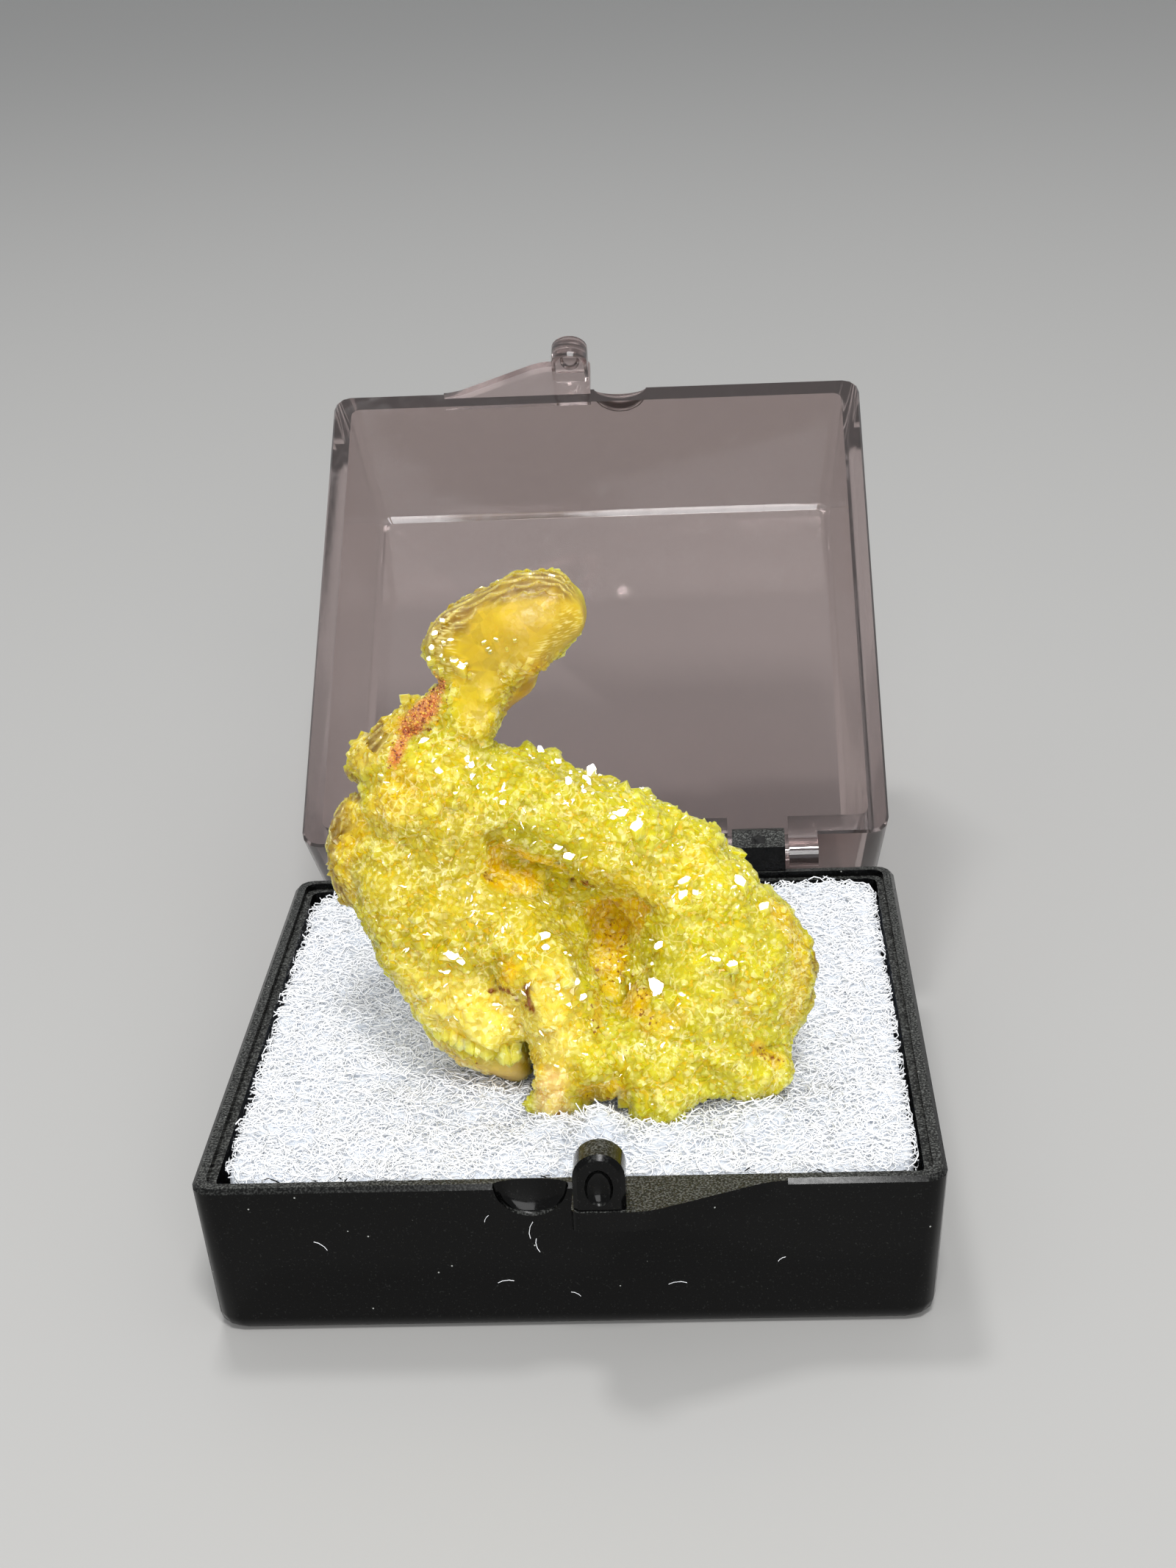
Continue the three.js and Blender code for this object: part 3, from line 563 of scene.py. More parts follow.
def mark_zones(mass, glints):
    """Writes each zone's weight on the mass, its border broken up by noise."""
    mesh = mass.data
    points = points_of(mesh)
    stray = np.column_stack([noise_of(points, 1.6 * MM, shift) for shift in (0.0, 40.0, 80.0)])
    for layer, strokes in ZONES.items():
        laid = laid_on(mass, strokes)
        broad = [stroke for stroke in laid if stroke[0] > 0.3]
        fine = [stroke for stroke in laid if stroke[0] <= 0.3]
        weight = zone_weight(points + stray * 0.5 * MM, broad)
        set_layer(mesh, layer, np.maximum(weight, zone_weight(points + stray * 0.15 * MM, fine)))
    _, edge, band = scale_pattern(points)
    set_layer(mesh, "smooth", zone_weight(points, laid_on(mass, SMOOTH_ZONES), 1.6))
    discs = [(0.3, spot, spot) for spot in glints]
    for across, down, half in FLASH_FACES:
        spot = on_surface(mass, across, down)[0]
        discs.append((1.6 * half + 0.1, spot, spot))
    for across, down, reach, _ in GLITTER:
        spot = on_surface(mass, across, down)[0]
        discs.append((0.04 * reach, spot, spot))
    set_layer(mesh, "flash", zone_weight(points, discs, 0.1))
    set_layer(mesh, "scale_edge", edge)
    set_layer(mesh, "scale_band", band)


def scale_pattern(points):
    """For rows of scales: how raised each point is, how near a scale's lip, and how far in the band."""
    rise, edge, band = (np.zeros(len(points)) for _ in range(3))
    for middle, half, lean, (first, last) in SCALED_FORMS:
        turn = math.radians(lean)
        away = points / MM - np.array(middle)
        across = away[:, 0] * math.cos(turn) - away[:, 2] * math.sin(turn)
        up = away[:, 0] * math.sin(turn) + away[:, 2] * math.cos(turn)
        local = np.column_stack([across / half[0], away[:, 1] / half[1], up / half[2]])
        size = np.linalg.norm(local, axis=1)
        slope = np.degrees(np.arccos(np.clip(-local[:, 1] / np.maximum(size, 1e-6), -1, 1)))
        round_it = np.degrees(np.arctan2(local[:, 2], local[:, 0]))
        past = (round_it - first) % 360
        inside = (past < last - first) & (size > 0.7) & (size < 1.3)
        ragged = 12 * noise_of(points, 1.1 * MM, 33.0)
        turned = slope + ragged
        fade = np.clip((past + ragged) / 25, 0, 1) * np.clip((last - first - past + ragged) / 25, 0, 1)
        fade *= np.clip((turned - 46) / 16, 0, 1) * np.clip((128 - turned) / 36, 0, 1) * inside
        row = np.floor(slope / SCALE_ROW)
        part = slope / SCALE_ROW - row
        wobble = 3 * noise_of(points, 1.4 * MM, 20.0)
        beat = (round_it + wobble) / SCALE_ARC + 0.5 * (row % 2)
        lobe = (2 * np.abs(beat - np.floor(beat) - 0.5)) ** 2
        lip = 0.1 + 0.42 * lobe
        top = np.where(part > lip, 1 - 0.8 * (part - lip) / (1 - lip), 0.1)
        rise = np.maximum(rise, top * fade)
        edge = np.maximum(edge, np.exp(-((part - lip) / 0.12) ** 2) * fade)
        band = np.maximum(band, fade)
    return rise, edge, band


# The specimen
def cut_hollows(mass):
    """Cuts each deep hollow out of the mass, as a rounded, leaning form."""
    for index, (middle, half, lean) in enumerate(HOLLOWS):
        shape = bmesh.new()
        bmesh.ops.create_icosphere(shape, subdivisions=3, radius=1)
        turn = Euler((0, math.radians(lean), 0)).to_matrix().to_4x4()
        size = Matrix.Diagonal((*[value * MM for value in half], 1))
        shape.transform(Matrix.Translation(Vector(middle) * MM) @ turn @ size)
        mesh = bpy.data.meshes.new(f"hollow_{index}")
        shape.to_mesh(mesh)
        shape.free()
        cutter = new_object(mesh.name, mesh)
        cut = mass.modifiers.new(cutter.name, "BOOLEAN")
        cut.operation = "DIFFERENCE"
        cut.solver = "MANIFOLD"
        cut.object = cutter
        settle(mass)
        bpy.data.objects.remove(cutter)


def refine_mass(mass, settings):
    """Turns the faceted solid into a fine skin with soft lumps, low terraces and rows of scales."""
    skin = mass.modifiers.new("skin", "REMESH")
    skin.mode = "VOXEL"
    skin.voxel_size = settings.grain
    soften = mass.modifiers.new("soften", "SMOOTH")
    soften.factor = 0.5
    soften.iterations = 5
    settle(mass)
    refine_scales(mass.data)
    points = points_of(mass.data)
    for place, reach, move in NUDGES:
        away = np.linalg.norm(points - np.array(place) * MM, axis=1) / (reach * MM)
        points += np.exp(-away ** 2)[:, None] * np.array(move) * MM
    set_points(mass.data, points)
    bpy.context.view_layer.update()
    smooth = zone_weight(points, laid_on(mass, SMOOTH_ZONES), 1.2)
    rise, _, band = scale_pattern(points)
    calm = np.maximum(smooth, band)
    lumps = LUMP_RISE * noise_of(points, 1.8 * MM)
    lumps += TERRACE_RISE * terraces(points)
    raised = SKIN_RISE + lumps * (1 - 0.85 * calm) + SCALE_RISE * rise
    set_points(mass.data, points + normals_of(mass.data) * raised[:, None] * MM)
    to_eye = np.array(CAMERA_AT) * MM - points
    to_eye /= np.linalg.norm(to_eye, axis=1)[:, None]
    front = np.clip((np.sum(normals_of(mass.data) * to_eye, axis=1) + 0.35) / 0.3, 0, 1)
    set_layer(mass.data, "front", front)
    set_layer(mass.data, "crust", (1 - smooth) * (1 - 0.9 * band) * (0.3 + 0.7 * front))


def terraces(points):
    """Overlapping growth layers: slow rises that end in scalloped steps, from 0 to 1."""
    swell = noise_of(points, 2.4 * MM, 60.0) + 0.12 * noise_of(points, 0.8 * MM, 70.0)
    level = points @ np.array((0.35, 0.0, -0.94)) / (TERRACE_EVERY * MM) + 0.9 * swell
    return level - np.floor(level)


def refine_scales(mesh):
    """Divides the faces that carry scales, so that each scale has its own edge."""
    for _ in range(2):
        band = scale_pattern(points_of(mesh))[2]
        shape = bmesh.new()
        shape.from_mesh(mesh)
        shape.verts.ensure_lookup_table()
        fine = [line for line in shape.edges if max(band[end.index] for end in line.verts) > 0.05]
        bmesh.ops.subdivide_edges(shape, edges=fine, cuts=1, use_grid_fill=True)
        bmesh.ops.triangulate(shape, faces=[face for face in shape.faces if len(face.verts) > 4])
        shape.to_mesh(mesh)
        shape.free()


def crystal_mesh(name, waist, ridge, shoulder):
    """A wedge crystal: four upright faces, and a roof that ends in a ridge."""
    low = [(1, 0, -1.3), (0, waist, -1.3), (-1, 0, -1.3), (0, -waist, -1.3)]
    high = [(x, y, shoulder) for x, y, _ in low]
    top = [(ridge, 0, 0.42), (-ridge, 0, 0.42)]
    faces = [(3, 2, 1, 0), (0, 1, 5, 4), (1, 2, 6, 5), (2, 3, 7, 6), (3, 0, 4, 7),
             (4, 5, 8), (5, 9, 8), (5, 6, 9), (6, 7, 9), (7, 8, 9), (7, 4, 8)]
    mesh = bpy.data.meshes.new(name)
    mesh.from_pydata(low + high + top, [], faces)
    mesh.update()
    return mesh


CRYSTAL_FORMS = {
    "crystal_block": (0.8, 0.5, 0.08),
    "crystal_blade": (0.5, 0.6, 0.0),
    "crystal_stub": (0.95, 0.35, 0.16),
}


def flash_faces(mass, settings):
    """Flat-topped crystals turned between the lamp and the eye: the listed ones, and narrow glints."""
    rng = random.Random(settings.seed)
    faces = bpy.data.collections.new("flash_faces")
    for across, down, half in FLASH_FACES:
        add_flash(faces, mass, across, down, 1.4 * half, rng.uniform(0.45, 0.85), 0.0, rng)
    for across, down, reach, count in GLITTER:
        for _ in range(count):
            beside, below = across + rng.gauss(0, reach / 2), down + rng.gauss(0, reach / 3)
            add_flash(faces, mass, beside, below, rng.uniform(0.1, 0.2), rng.uniform(0.4, 0.9), 0.03, rng)
    glints = []
    while len(glints) < GLINTS:
        across, down = rng.uniform(*GLINT_ACROSS), rng.uniform(*GLINT_DOWN)
        if in_outline(across, down):
            glints.append(on_surface(mass, across, down)[0])
            add_flash(faces, mass, across, down, rng.uniform(0.14, 0.34), rng.uniform(0.14, 0.3), 0.05, rng)
    return faces, glints


def in_outline(across, down):
    """Whether a spot of the frame is well inside the specimen's body."""
    return any(((across - middle[0]) / half[0]) ** 2 + ((down - middle[1]) / half[1]) ** 2 < 1
               for middle, half in GLINT_OVALS)


def add_flash(faces, mass, across, down, half, narrow, stray, rng):
    """Adds a six-sided crystal whose flat top sends a lamp's light to the eye."""
    at, normal = on_surface(mass, across, down)
    to_lamp = (Vector(KEY_AT) * MM - at).normalized()
    if mass.ray_cast(at + normal * 0.8 * MM, to_lamp)[0]:
        to_lamp = (Vector(SPARK_AT) * MM - at).normalized()
    to_eye = (Vector(CAMERA_AT) * MM - at).normalized()
    facing = (to_lamp + to_eye).normalized() + Vector([rng.uniform(-stray, stray) for _ in range(3)])
    turn = facing.to_track_quat("Z", "Y").to_matrix().to_4x4()
    spin = Matrix.Rotation(rng.uniform(0, math.pi), 4, "Z")
    size = Matrix.Diagonal((half * MM, half * narrow * MM, half * 1.4 * MM, 1))
    place = Matrix.Translation(at + normal * (0.1 + 0.3 * half) * MM) @ turn @ spin @ size
    angles = [math.radians(60 * corner + rng.uniform(-24, 24)) for corner in range(6)]
    high = [(math.cos(angle), math.sin(angle), 0) for angle in angles]
    low = [(1.15 * x, 1.15 * y, -1) for x, y, _ in high]
    sides = [(here, (here + 1) % 6, (here + 1) % 6 + 6, here + 6) for here in range(6)]
    mesh = bpy.data.meshes.new("flash_face")
    mesh.from_pydata(low + high, [], [tuple(range(5, -1, -1)), tuple(range(6, 12))] + sides)
    mesh.transform(place)
    faces.objects.link(bpy.data.objects.new(mesh.name, mesh))


def lip_teeth(teeth, settings):
    """Wedge crystals side by side along the lip, pointing down and forwards."""
    rng = random.Random(settings.seed + 1)
    for index in range(LIP_TEETH):
        along = index / (LIP_TEETH - 1) * (len(LIP) - 1)
        here = min(int(along), len(LIP) - 2)
        at = Vector(LIP[here]).lerp(Vector(LIP[here + 1]), along - here)
        at += Vector([rng.uniform(-0.22, 0.22) for _ in range(3)])
        facing = Vector((rng.uniform(-0.35, 0.35), -0.6, -0.9))
        turn = facing.to_track_quat("Z", "X").to_matrix().to_4x4()
        half = rng.uniform(0.22, 0.42)
        size = Matrix.Diagonal((half, half * 1.5, rng.uniform(0.45, 0.85), 1))
        mesh = crystal_mesh(f"lip_tooth_{index}", 0.8, 0.4, -0.15)
        mesh.transform(Matrix.Scale(MM, 4) @ Matrix.Translation(at) @ turn @ size)
        teeth.objects.link(bpy.data.objects.new(mesh.name, mesh))


def crust_tree():
    """Crystals rooted on the mass, leaning at random but alike with their neighbours, and united."""
    tree, given = geometry_tree("Crystal crust", {
        "Spacing": "NodeSocketFloat",
        "Smallest": "NodeSocketFloat",
        "Largest": "NodeSocketFloat",
        "Tilt": "NodeSocketFloat",
        "Seed": "NodeSocketInt",
        "Forms": "NodeSocketCollection",
        "Flash faces": "NodeSocketCollection",
        "Material": "NodeSocketMaterial",
    })
    roots = root_points(tree, given, "crust")
    tilt_back = add_node(tree, "ShaderNodeMath", {0: given["Tilt"], 1: -1.0}, operation="MULTIPLY")
    low = add_node(tree, "ShaderNodeCombineXYZ", {0: tilt_back.outputs[0], 1: tilt_back.outputs[0], 2: -0.5})
    high = add_node(tree, "ShaderNodeCombineXYZ", {0: given["Tilt"], 1: given["Tilt"], 2: 0.5})
    lean = add_node(tree, "FunctionNodeRandomValue", {
        "Min": low.outputs[0], "Max": high.outputs[0], "Seed": given["Seed"]}, data_type="FLOAT_VECTOR")
    place = add_node(tree, "GeometryNodeInputPosition")
    book = add_node(tree, "ShaderNodeTexNoise", {
        "Vector": place.outputs[0], "Scale": 1 / (4 * MM), "Detail": 0.0})
    spin = add_node(tree, "ShaderNodeMath", {0: book.outputs[0], 1: 6 * math.pi}, operation="MULTIPLY")
    upright = add_node(tree, "ShaderNodeCombineXYZ", {2: spin.outputs[0]})
    turned = add_node(tree, "ShaderNodeVectorMath", {
        0: lean.outputs["Value"], 1: upright.outputs[0]}, operation="ADD")
    turn = add_node(tree, "FunctionNodeEulerToRotation", {0: turned.outputs[0]})
    aim = add_node(tree, "FunctionNodeRotateRotation", {
        0: roots.outputs["Rotation"], 1: turn.outputs[0]}, rotation_space="LOCAL")
    region = add_node(tree, "ShaderNodeTexNoise", {
        "Vector": place.outputs[0], "Scale": 1 / (5 * MM), "Detail": 0.0})
    coarse = add_node(tree, "ShaderNodeMapRange", {
        "Value": region.outputs[0], "From Min": 0.35, "From Max": 0.65, "To Min": 0.75, "To Max": 1.3})
    any_size = add_node(tree, "FunctionNodeRandomValue", {
        "Min": given["Smallest"], "Max": given["Largest"], "Seed": 3}, data_type="FLOAT")
    front = add_node(tree, "GeometryNodeInputNamedAttribute", {"Name": "front"}, data_type="FLOAT")
    behind = add_node(tree, "ShaderNodeMapRange", {
        "Value": front.outputs["Attribute"], "To Min": 1.6, "To Max": 1.0})
    fitted = add_node(tree, "ShaderNodeMath", {
        0: any_size.outputs[1], 1: behind.outputs[0]}, operation="MULTIPLY")
    size = add_node(tree, "ShaderNodeMath", {
        0: fitted.outputs[0], 1: coarse.outputs[0]}, operation="MULTIPLY")
    stretch = add_node(tree, "FunctionNodeRandomValue", {
        "Min": (0.8, 0.8, 0.75), "Max": (1.25, 1.2, 1.15), "Seed": 8}, data_type="FLOAT_VECTOR")
    scale = add_node(tree, "ShaderNodeVectorMath", {
        0: stretch.outputs["Value"], "Scale": size.outputs[0]}, operation="SCALE")
    forms = add_node(tree, "GeometryNodeCollectionInfo", {
        "Collection": given["Forms"], "Separate Children": True, "Reset Children": True})
    crystals = add_node(tree, "GeometryNodeInstanceOnPoints", {
        "Points": roots.outputs["Points"],
        "Instance": forms.outputs[0],
        "Pick Instance": True,
        "Rotation": aim.outputs[0],
        "Scale": scale.outputs[0],
    })
    united = add_node(tree, "GeometryNodeMeshBoolean", {"Mesh 2": given["Geometry"]},
                      operation="UNION", solver="MANIFOLD")
    tree.links.new(crystals.outputs[0], united.inputs["Mesh 2"])
    flashing = add_node(tree, "GeometryNodeCollectionInfo", {
        "Collection": given["Flash faces"], "Separate Children": True})
    tree.links.new(flashing.outputs[0], united.inputs["Mesh 2"])
    end_tree(tree, united.outputs["Mesh"], given["Material"])
    return tree


def adamite_material(settings):
    """Adamite: translucent zinc arsenate crystals, glassy faces, yellow light spreading inside."""
    material, tree = new_material("adamite_vitreous_crystal")
    place = add_node(tree, "ShaderNodeTexCoord").outputs["Object"]
    patches = add_node(tree, "ShaderNodeTexNoise", {"Vector": place, "Scale": 1 / (3.5 * MM), "Detail": 3.0})
    spread = add_node(tree, "ShaderNodeMapRange", {
        "Value": patches.outputs[0], "From Min": 0.5, "From Max": 0.75})
    current = add_node(tree, "ShaderNodeMix", {
        0: spread.outputs[0], 6: opaque(settings.lemon), 7: opaque(settings.gold)},
        data_type="RGBA").outputs[2]
    # Colour zones; the hollows' zone paints their shade as a deeper gold
    for layer in ("warm", "gold", "cream", "honey", "saffron", "bud", "tan", "cave", "rust"):
        weight = add_node(tree, "ShaderNodeAttribute", attribute_name=layer)
        current = add_node(tree, "ShaderNodeMix", {
            0: weight.outputs["Fac"], 6: current, 7: opaque(getattr(settings, layer))},
            data_type="RGBA").outputs[2]

    # Plates set closely edge to edge, each a little lighter or deeper, with a painted highlight along their
    # thin lips
    warp = add_node(tree, "ShaderNodeTexNoise", {"Vector": place, "Scale": 1 / (1.0 * MM), "Detail": 1.0})
    moved = add_node(tree, "ShaderNodeVectorMath", {
        0: warp.outputs["Color"], "Scale": 0.5 * MM}, operation="SCALE")
    warped = add_node(tree, "ShaderNodeVectorMath", {0: place, 1: moved.outputs[0]}, operation="ADD")
    plates = add_node(tree, "ShaderNodeTexVoronoi", {
        "Vector": warped.outputs[0], "Scale": 1 / (0.85 * MM)})
    tone = add_node(tree, "ShaderNodeSeparateColor", {0: plates.outputs["Color"]})
    shade = add_node(tree, "ShaderNodeMapRange", {"Value": tone.outputs[0], "To Min": 0.77, "To Max": 0.94})
    current = add_node(tree, "ShaderNodeMix", {
        0: 1.0, 6: current, 7: shade.outputs[0]}, data_type="RGBA", blend_type="MULTIPLY").outputs[2]
    seams = add_node(tree, "ShaderNodeTexVoronoi", {
        "Vector": warped.outputs[0], "Scale": 1 / (0.6 * MM)}, feature="DISTANCE_TO_EDGE")
    lip = add_node(tree, "ShaderNodeMapRange", {
        "Value": seams.outputs["Distance"], "From Min": 0.03, "From Max": 0.09, "To Min": 0.4, "To Max": 0.0})
    broken = add_node(tree, "ShaderNodeTexNoise", {"Vector": place, "Scale": 1 / (1.3 * MM), "Detail": 2.0})
    some = add_node(tree, "ShaderNodeMapRange", {
        "Value": broken.outputs[0], "From Min": 0.45, "From Max": 0.6})
    smooth = add_node(tree, "ShaderNodeAttribute", attribute_name="smooth")
    plated = add_node(tree, "ShaderNodeMath", {0: 1.0, 1: smooth.outputs["Fac"]}, operation="SUBTRACT")
    kept = add_node(tree, "ShaderNodeMath", {0: lip.outputs[0], 1: plated.outputs[0]}, operation="MULTIPLY")
    painted_lip_highlight = add_node(tree, "ShaderNodeMath", {0: kept.outputs[0], 1: some.outputs[0]}, operation="MULTIPLY")
    current = add_node(tree, "ShaderNodeMix", {
        0: painted_lip_highlight.outputs[0], 6: current, 7: opaque(settings.painted_highlight)}, data_type="RGBA").outputs[2]

    # Painted light: thin crystal edges get a painted highlight, and the gaps between crystals a painted
    # golden glow
    solid = add_node(tree, "ShaderNodeNewGeometry")
    # Painted highlight on the convex crystal edges
    edges = add_node(tree, "ShaderNodeMapRange", {
        "Value": solid.outputs["Pointiness"], "From Min": 0.52, "From Max": 0.6, "To Max": 0.12})
    current = add_node(tree, "ShaderNodeMix", {
        0: edges.outputs[0], 6: current, 7: opaque(settings.painted_highlight)}, data_type="RGBA").outputs[2]
    # Painted glow in the concave gaps, where the real light through the crystals would show
    painted_glow_mask = add_node(tree, "ShaderNodeMapRange", {
        "Value": solid.outputs["Pointiness"], "From Min": 0.5, "From Max": 0.45, "To Max": 0.8})
    current = add_node(tree, "ShaderNodeMix", {
        0: painted_glow_mask.outputs[0], 6: current, 7: opaque(settings.painted_gap_glow)}, data_type="RGBA").outputs[2]

    # Crystal faces, each lighter or deeper, and a few with a painted glint that makes them almost white
    facets = add_node(tree, "ShaderNodeTexVoronoi", {"Vector": place, "Scale": 1 / (0.3 * MM)})
    gleam = add_node(tree, "ShaderNodeSeparateColor", {0: facets.outputs["Color"]})
    face_tone = add_node(tree, "ShaderNodeMapRange", {
        "Value": gleam.outputs[2], "To Min": 0.94, "To Max": 1.06})
    toned = add_node(tree, "ShaderNodeMix", {
        0: plated.outputs[0], 6: current, 7: face_tone.outputs[0]}, data_type="RGBA", blend_type="MULTIPLY")
    painted_glint = add_node(tree, "ShaderNodeMapRange", {
        "Value": gleam.outputs[0], "From Min": 0.86, "From Max": 0.9, "To Max": 0.3})
    on_crust = add_node(tree, "ShaderNodeMath", {
        0: painted_glint.outputs[0], 1: plated.outputs[0]}, operation="MULTIPLY")
    current = add_node(tree, "ShaderNodeMix", {
        0: on_crust.outputs[0], 6: toned.outputs[2], 7: opaque(settings.painted_highlight)}, data_type="RGBA").outputs[2]

    # The olive band of scales, with a painted highlight on their lips
    band = add_node(tree, "ShaderNodeAttribute", attribute_name="scale_band")
    mottle = add_node(tree, "ShaderNodeTexNoise", {"Vector": place, "Scale": 1 / (0.8 * MM), "Detail": 3.0})
    uneven = add_node(tree, "ShaderNodeMapRange", {
        "Value": mottle.outputs[0], "From Min": 0.35, "From Max": 0.65, "To Min": 0.6, "To Max": 1.0})
    olive = add_node(tree, "ShaderNodeMath", {
        0: band.outputs["Fac"], 1: uneven.outputs[0]}, operation="MULTIPLY")
    current = add_node(tree, "ShaderNodeMix", {
        0: olive.outputs[0], 6: current, 7: opaque(settings.olive)}, data_type="RGBA").outputs[2]
    edge = add_node(tree, "ShaderNodeAttribute", attribute_name="scale_edge")
    # Painted highlight on the scales' lips
    bright = add_node(tree, "ShaderNodeMath", {0: edge.outputs["Fac"], 1: 0.25}, operation="MULTIPLY")
    current = add_node(tree, "ShaderNodeMix", {
        0: bright.outputs[0], 6: current, 7: opaque(settings.painted_highlight)}, data_type="RGBA").outputs[2]

    # Glassy ends whose needles carry painted highlight streaks
    needles = add_node(tree, "ShaderNodeMapping", {
        "Vector": place,
        "Rotation": (0.0, math.radians(-35), 0.0),
        "Scale": (1 / (1.8 * MM), 1 / (0.3 * MM), 1 / (0.11 * MM)),
    })
    grain = add_node(tree, "ShaderNodeTexNoise", {"Vector": needles.outputs[0], "Scale": 1.0, "Detail": 1.0})
    painted_needle_highlight = add_node(tree, "ShaderNodeMapRange", {
        "Value": grain.outputs[0], "From Min": 0.5, "From Max": 0.68, "To Max": 0.45})
    streaked = add_node(tree, "ShaderNodeAttribute", attribute_name="streak")
    painted_needle_streaks = add_node(tree, "ShaderNodeMath", {
        0: streaked.outputs["Fac"], 1: painted_needle_highlight.outputs[0]}, operation="MULTIPLY")
    current = add_node(tree, "ShaderNodeMix", {
        0: painted_needle_streaks.outputs[0], 6: current, 7: opaque(settings.painted_highlight)}, data_type="RGBA").outputs[2]

    # Iron oxide: dark cracks, brown specks gathered in the hollows, a few loose specks elsewhere
    specks = add_node(tree, "ShaderNodeTexNoise", {"Vector": place, "Scale": 1 / (0.3 * MM), "Detail": 2.0})
    speck = add_node(tree, "ShaderNodeAttribute", attribute_name="speck")
    limit = add_node(tree, "ShaderNodeMapRange", {
        "Value": speck.outputs["Fac"], "To Min": 0.74, "To Max": 0.62})
    over = add_node(tree, "ShaderNodeMath", {0: specks.outputs[0], 1: limit.outputs[0]}, operation="SUBTRACT")
    dots = add_node(tree, "ShaderNodeMapRange", {
        "Value": over.outputs[0], "From Min": 0.0, "From Max": 0.05, "To Max": 0.85})
    crack = add_node(tree, "ShaderNodeAttribute", attribute_name="crack")
    rusty = add_node(tree, "ShaderNodeMath", {
        0: dots.outputs[0], 1: crack.outputs["Fac"]}, operation="MAXIMUM")
    current = add_node(tree, "ShaderNodeMix", {
        0: rusty.outputs[0], 6: current, 7: opaque(settings.crack)}, data_type="RGBA").outputs[2]
    iron = add_node(tree, "ShaderNodeAttribute", attribute_name="iron")
    current = add_node(tree, "ShaderNodeMix", {
        0: iron.outputs["Fac"], 6: current, 7: opaque(settings.iron)}, data_type="RGBA").outputs[2]

    # Most faces are etched and satin, a few are polished, and the flashing ones are like glass
    etched = add_node(tree, "ShaderNodeMapRange", {
        "Value": gleam.outputs[1], "From Min": 0.6, "From Max": 0.65, "To Min": 0.08, "To Max": 0.5})
    flash = add_node(tree, "ShaderNodeAttribute", attribute_name="flash")
    calm = add_node(tree, "ShaderNodeMath", {0: smooth.outputs["Fac"], 1: 0.75}, operation="MULTIPLY")
    satin = add_node(tree, "ShaderNodeMix", {0: calm.outputs[0], 2: etched.outputs[0], 3: 0.5})
    rough = add_node(tree, "ShaderNodeMix", {0: flash.outputs["Fac"], 2: satin.outputs[0], 3: 0.03})
    direction = add_node(tree, "ShaderNodeVectorMath", {
        0: facets.outputs["Color"], 1: (0.5, 0.5, 0.5)}, operation="SUBTRACT")
    uneven_faces = add_node(tree, "ShaderNodeMapRange", {
        "Value": plated.outputs[0], "To Min": 0.2, "To Max": 0.6})
    tilt = add_node(tree, "ShaderNodeMix", {0: flash.outputs["Fac"], 2: uneven_faces.outputs[0], 3: 0.0})
    lean = add_node(tree, "ShaderNodeVectorMath", {
        0: direction.outputs[0], "Scale": tilt.outputs[0]}, operation="SCALE")
    outward = add_node(tree, "ShaderNodeNewGeometry")
    leaning = add_node(tree, "ShaderNodeVectorMath", {
        0: outward.outputs["Normal"], 1: lean.outputs[0]}, operation="ADD")
    faceted = add_node(tree, "ShaderNodeVectorMath", {0: leaning.outputs[0]}, operation="NORMALIZE")
    needle_relief = add_node(tree, "ShaderNodeMath", {
        0: grain.outputs[0], 1: streaked.outputs["Fac"]}, operation="MULTIPLY")
    ripple = add_node(tree, "ShaderNodeBump", {
        "Height": needle_relief.outputs[0], "Strength": 0.3, "Distance": 0.05 * MM,
        "Normal": faceted.outputs[0]})
    sugar = add_node(tree, "ShaderNodeTexNoise", {"Vector": place, "Scale": 1 / (0.3 * MM), "Detail": 2.0})
    sugared = add_node(tree, "ShaderNodeMapRange", {
        "Value": flash.outputs["Fac"], "To Min": 0.5, "To Max": 0.0})
    relief = add_node(tree, "ShaderNodeBump", {
        "Height": sugar.outputs[0], "Strength": sugared.outputs[0], "Distance": 0.06 * MM,
        "Normal": ripple.outputs[0]})
    shader = add_node(tree, "ShaderNodeBsdfPrincipled", {
        "Base Color": current,
        "Roughness": rough.outputs[0],
        "IOR": 1.72,
        "Specular IOR Level": 0.3,
        "Subsurface Weight": 1.0,
        "Subsurface Radius": (1.0, 0.78, 0.16),
        "Subsurface Scale": 3.0 * MM,
        "Normal": relief.outputs[0],
    })
    add_node(tree, "ShaderNodeOutputMaterial", {"Surface": shader.outputs[0]})
    return material


def iron_material(settings):
    """Limonite: earthy iron oxide grains, dull, from orange and pink to dark brown."""
    material, tree = new_material("earthy_limonite")
    place = add_node(tree, "ShaderNodeTexCoord").outputs["Object"]
    grains = add_node(tree, "ShaderNodeTexVoronoi", {"Vector": place, "Scale": 1 / (0.22 * MM)})
    tone = add_node(tree, "ShaderNodeSeparateColor", {0: grains.outputs["Color"]})
    colour = add_node(tree, "ShaderNodeMix", {
        0: tone.outputs[0], 6: opaque(settings.iron), 7: opaque(settings.honey)}, data_type="RGBA")
    dark = add_node(tree, "ShaderNodeMath", {0: tone.outputs[1], 1: 0.72}, operation="GREATER_THAN")
    darker = add_node(tree, "ShaderNodeMix", {
        0: dark.outputs[0], 6: colour.outputs[2], 7: opaque(settings.iron_dark)}, data_type="RGBA")
    shader = add_node(tree, "ShaderNodeBsdfPrincipled", {
        "Base Color": darker.outputs[2],
        "Roughness": 0.45,
        "IOR": 1.6,
    })
    add_node(tree, "ShaderNodeOutputMaterial", {"Surface": shader.outputs[0]})
    return material


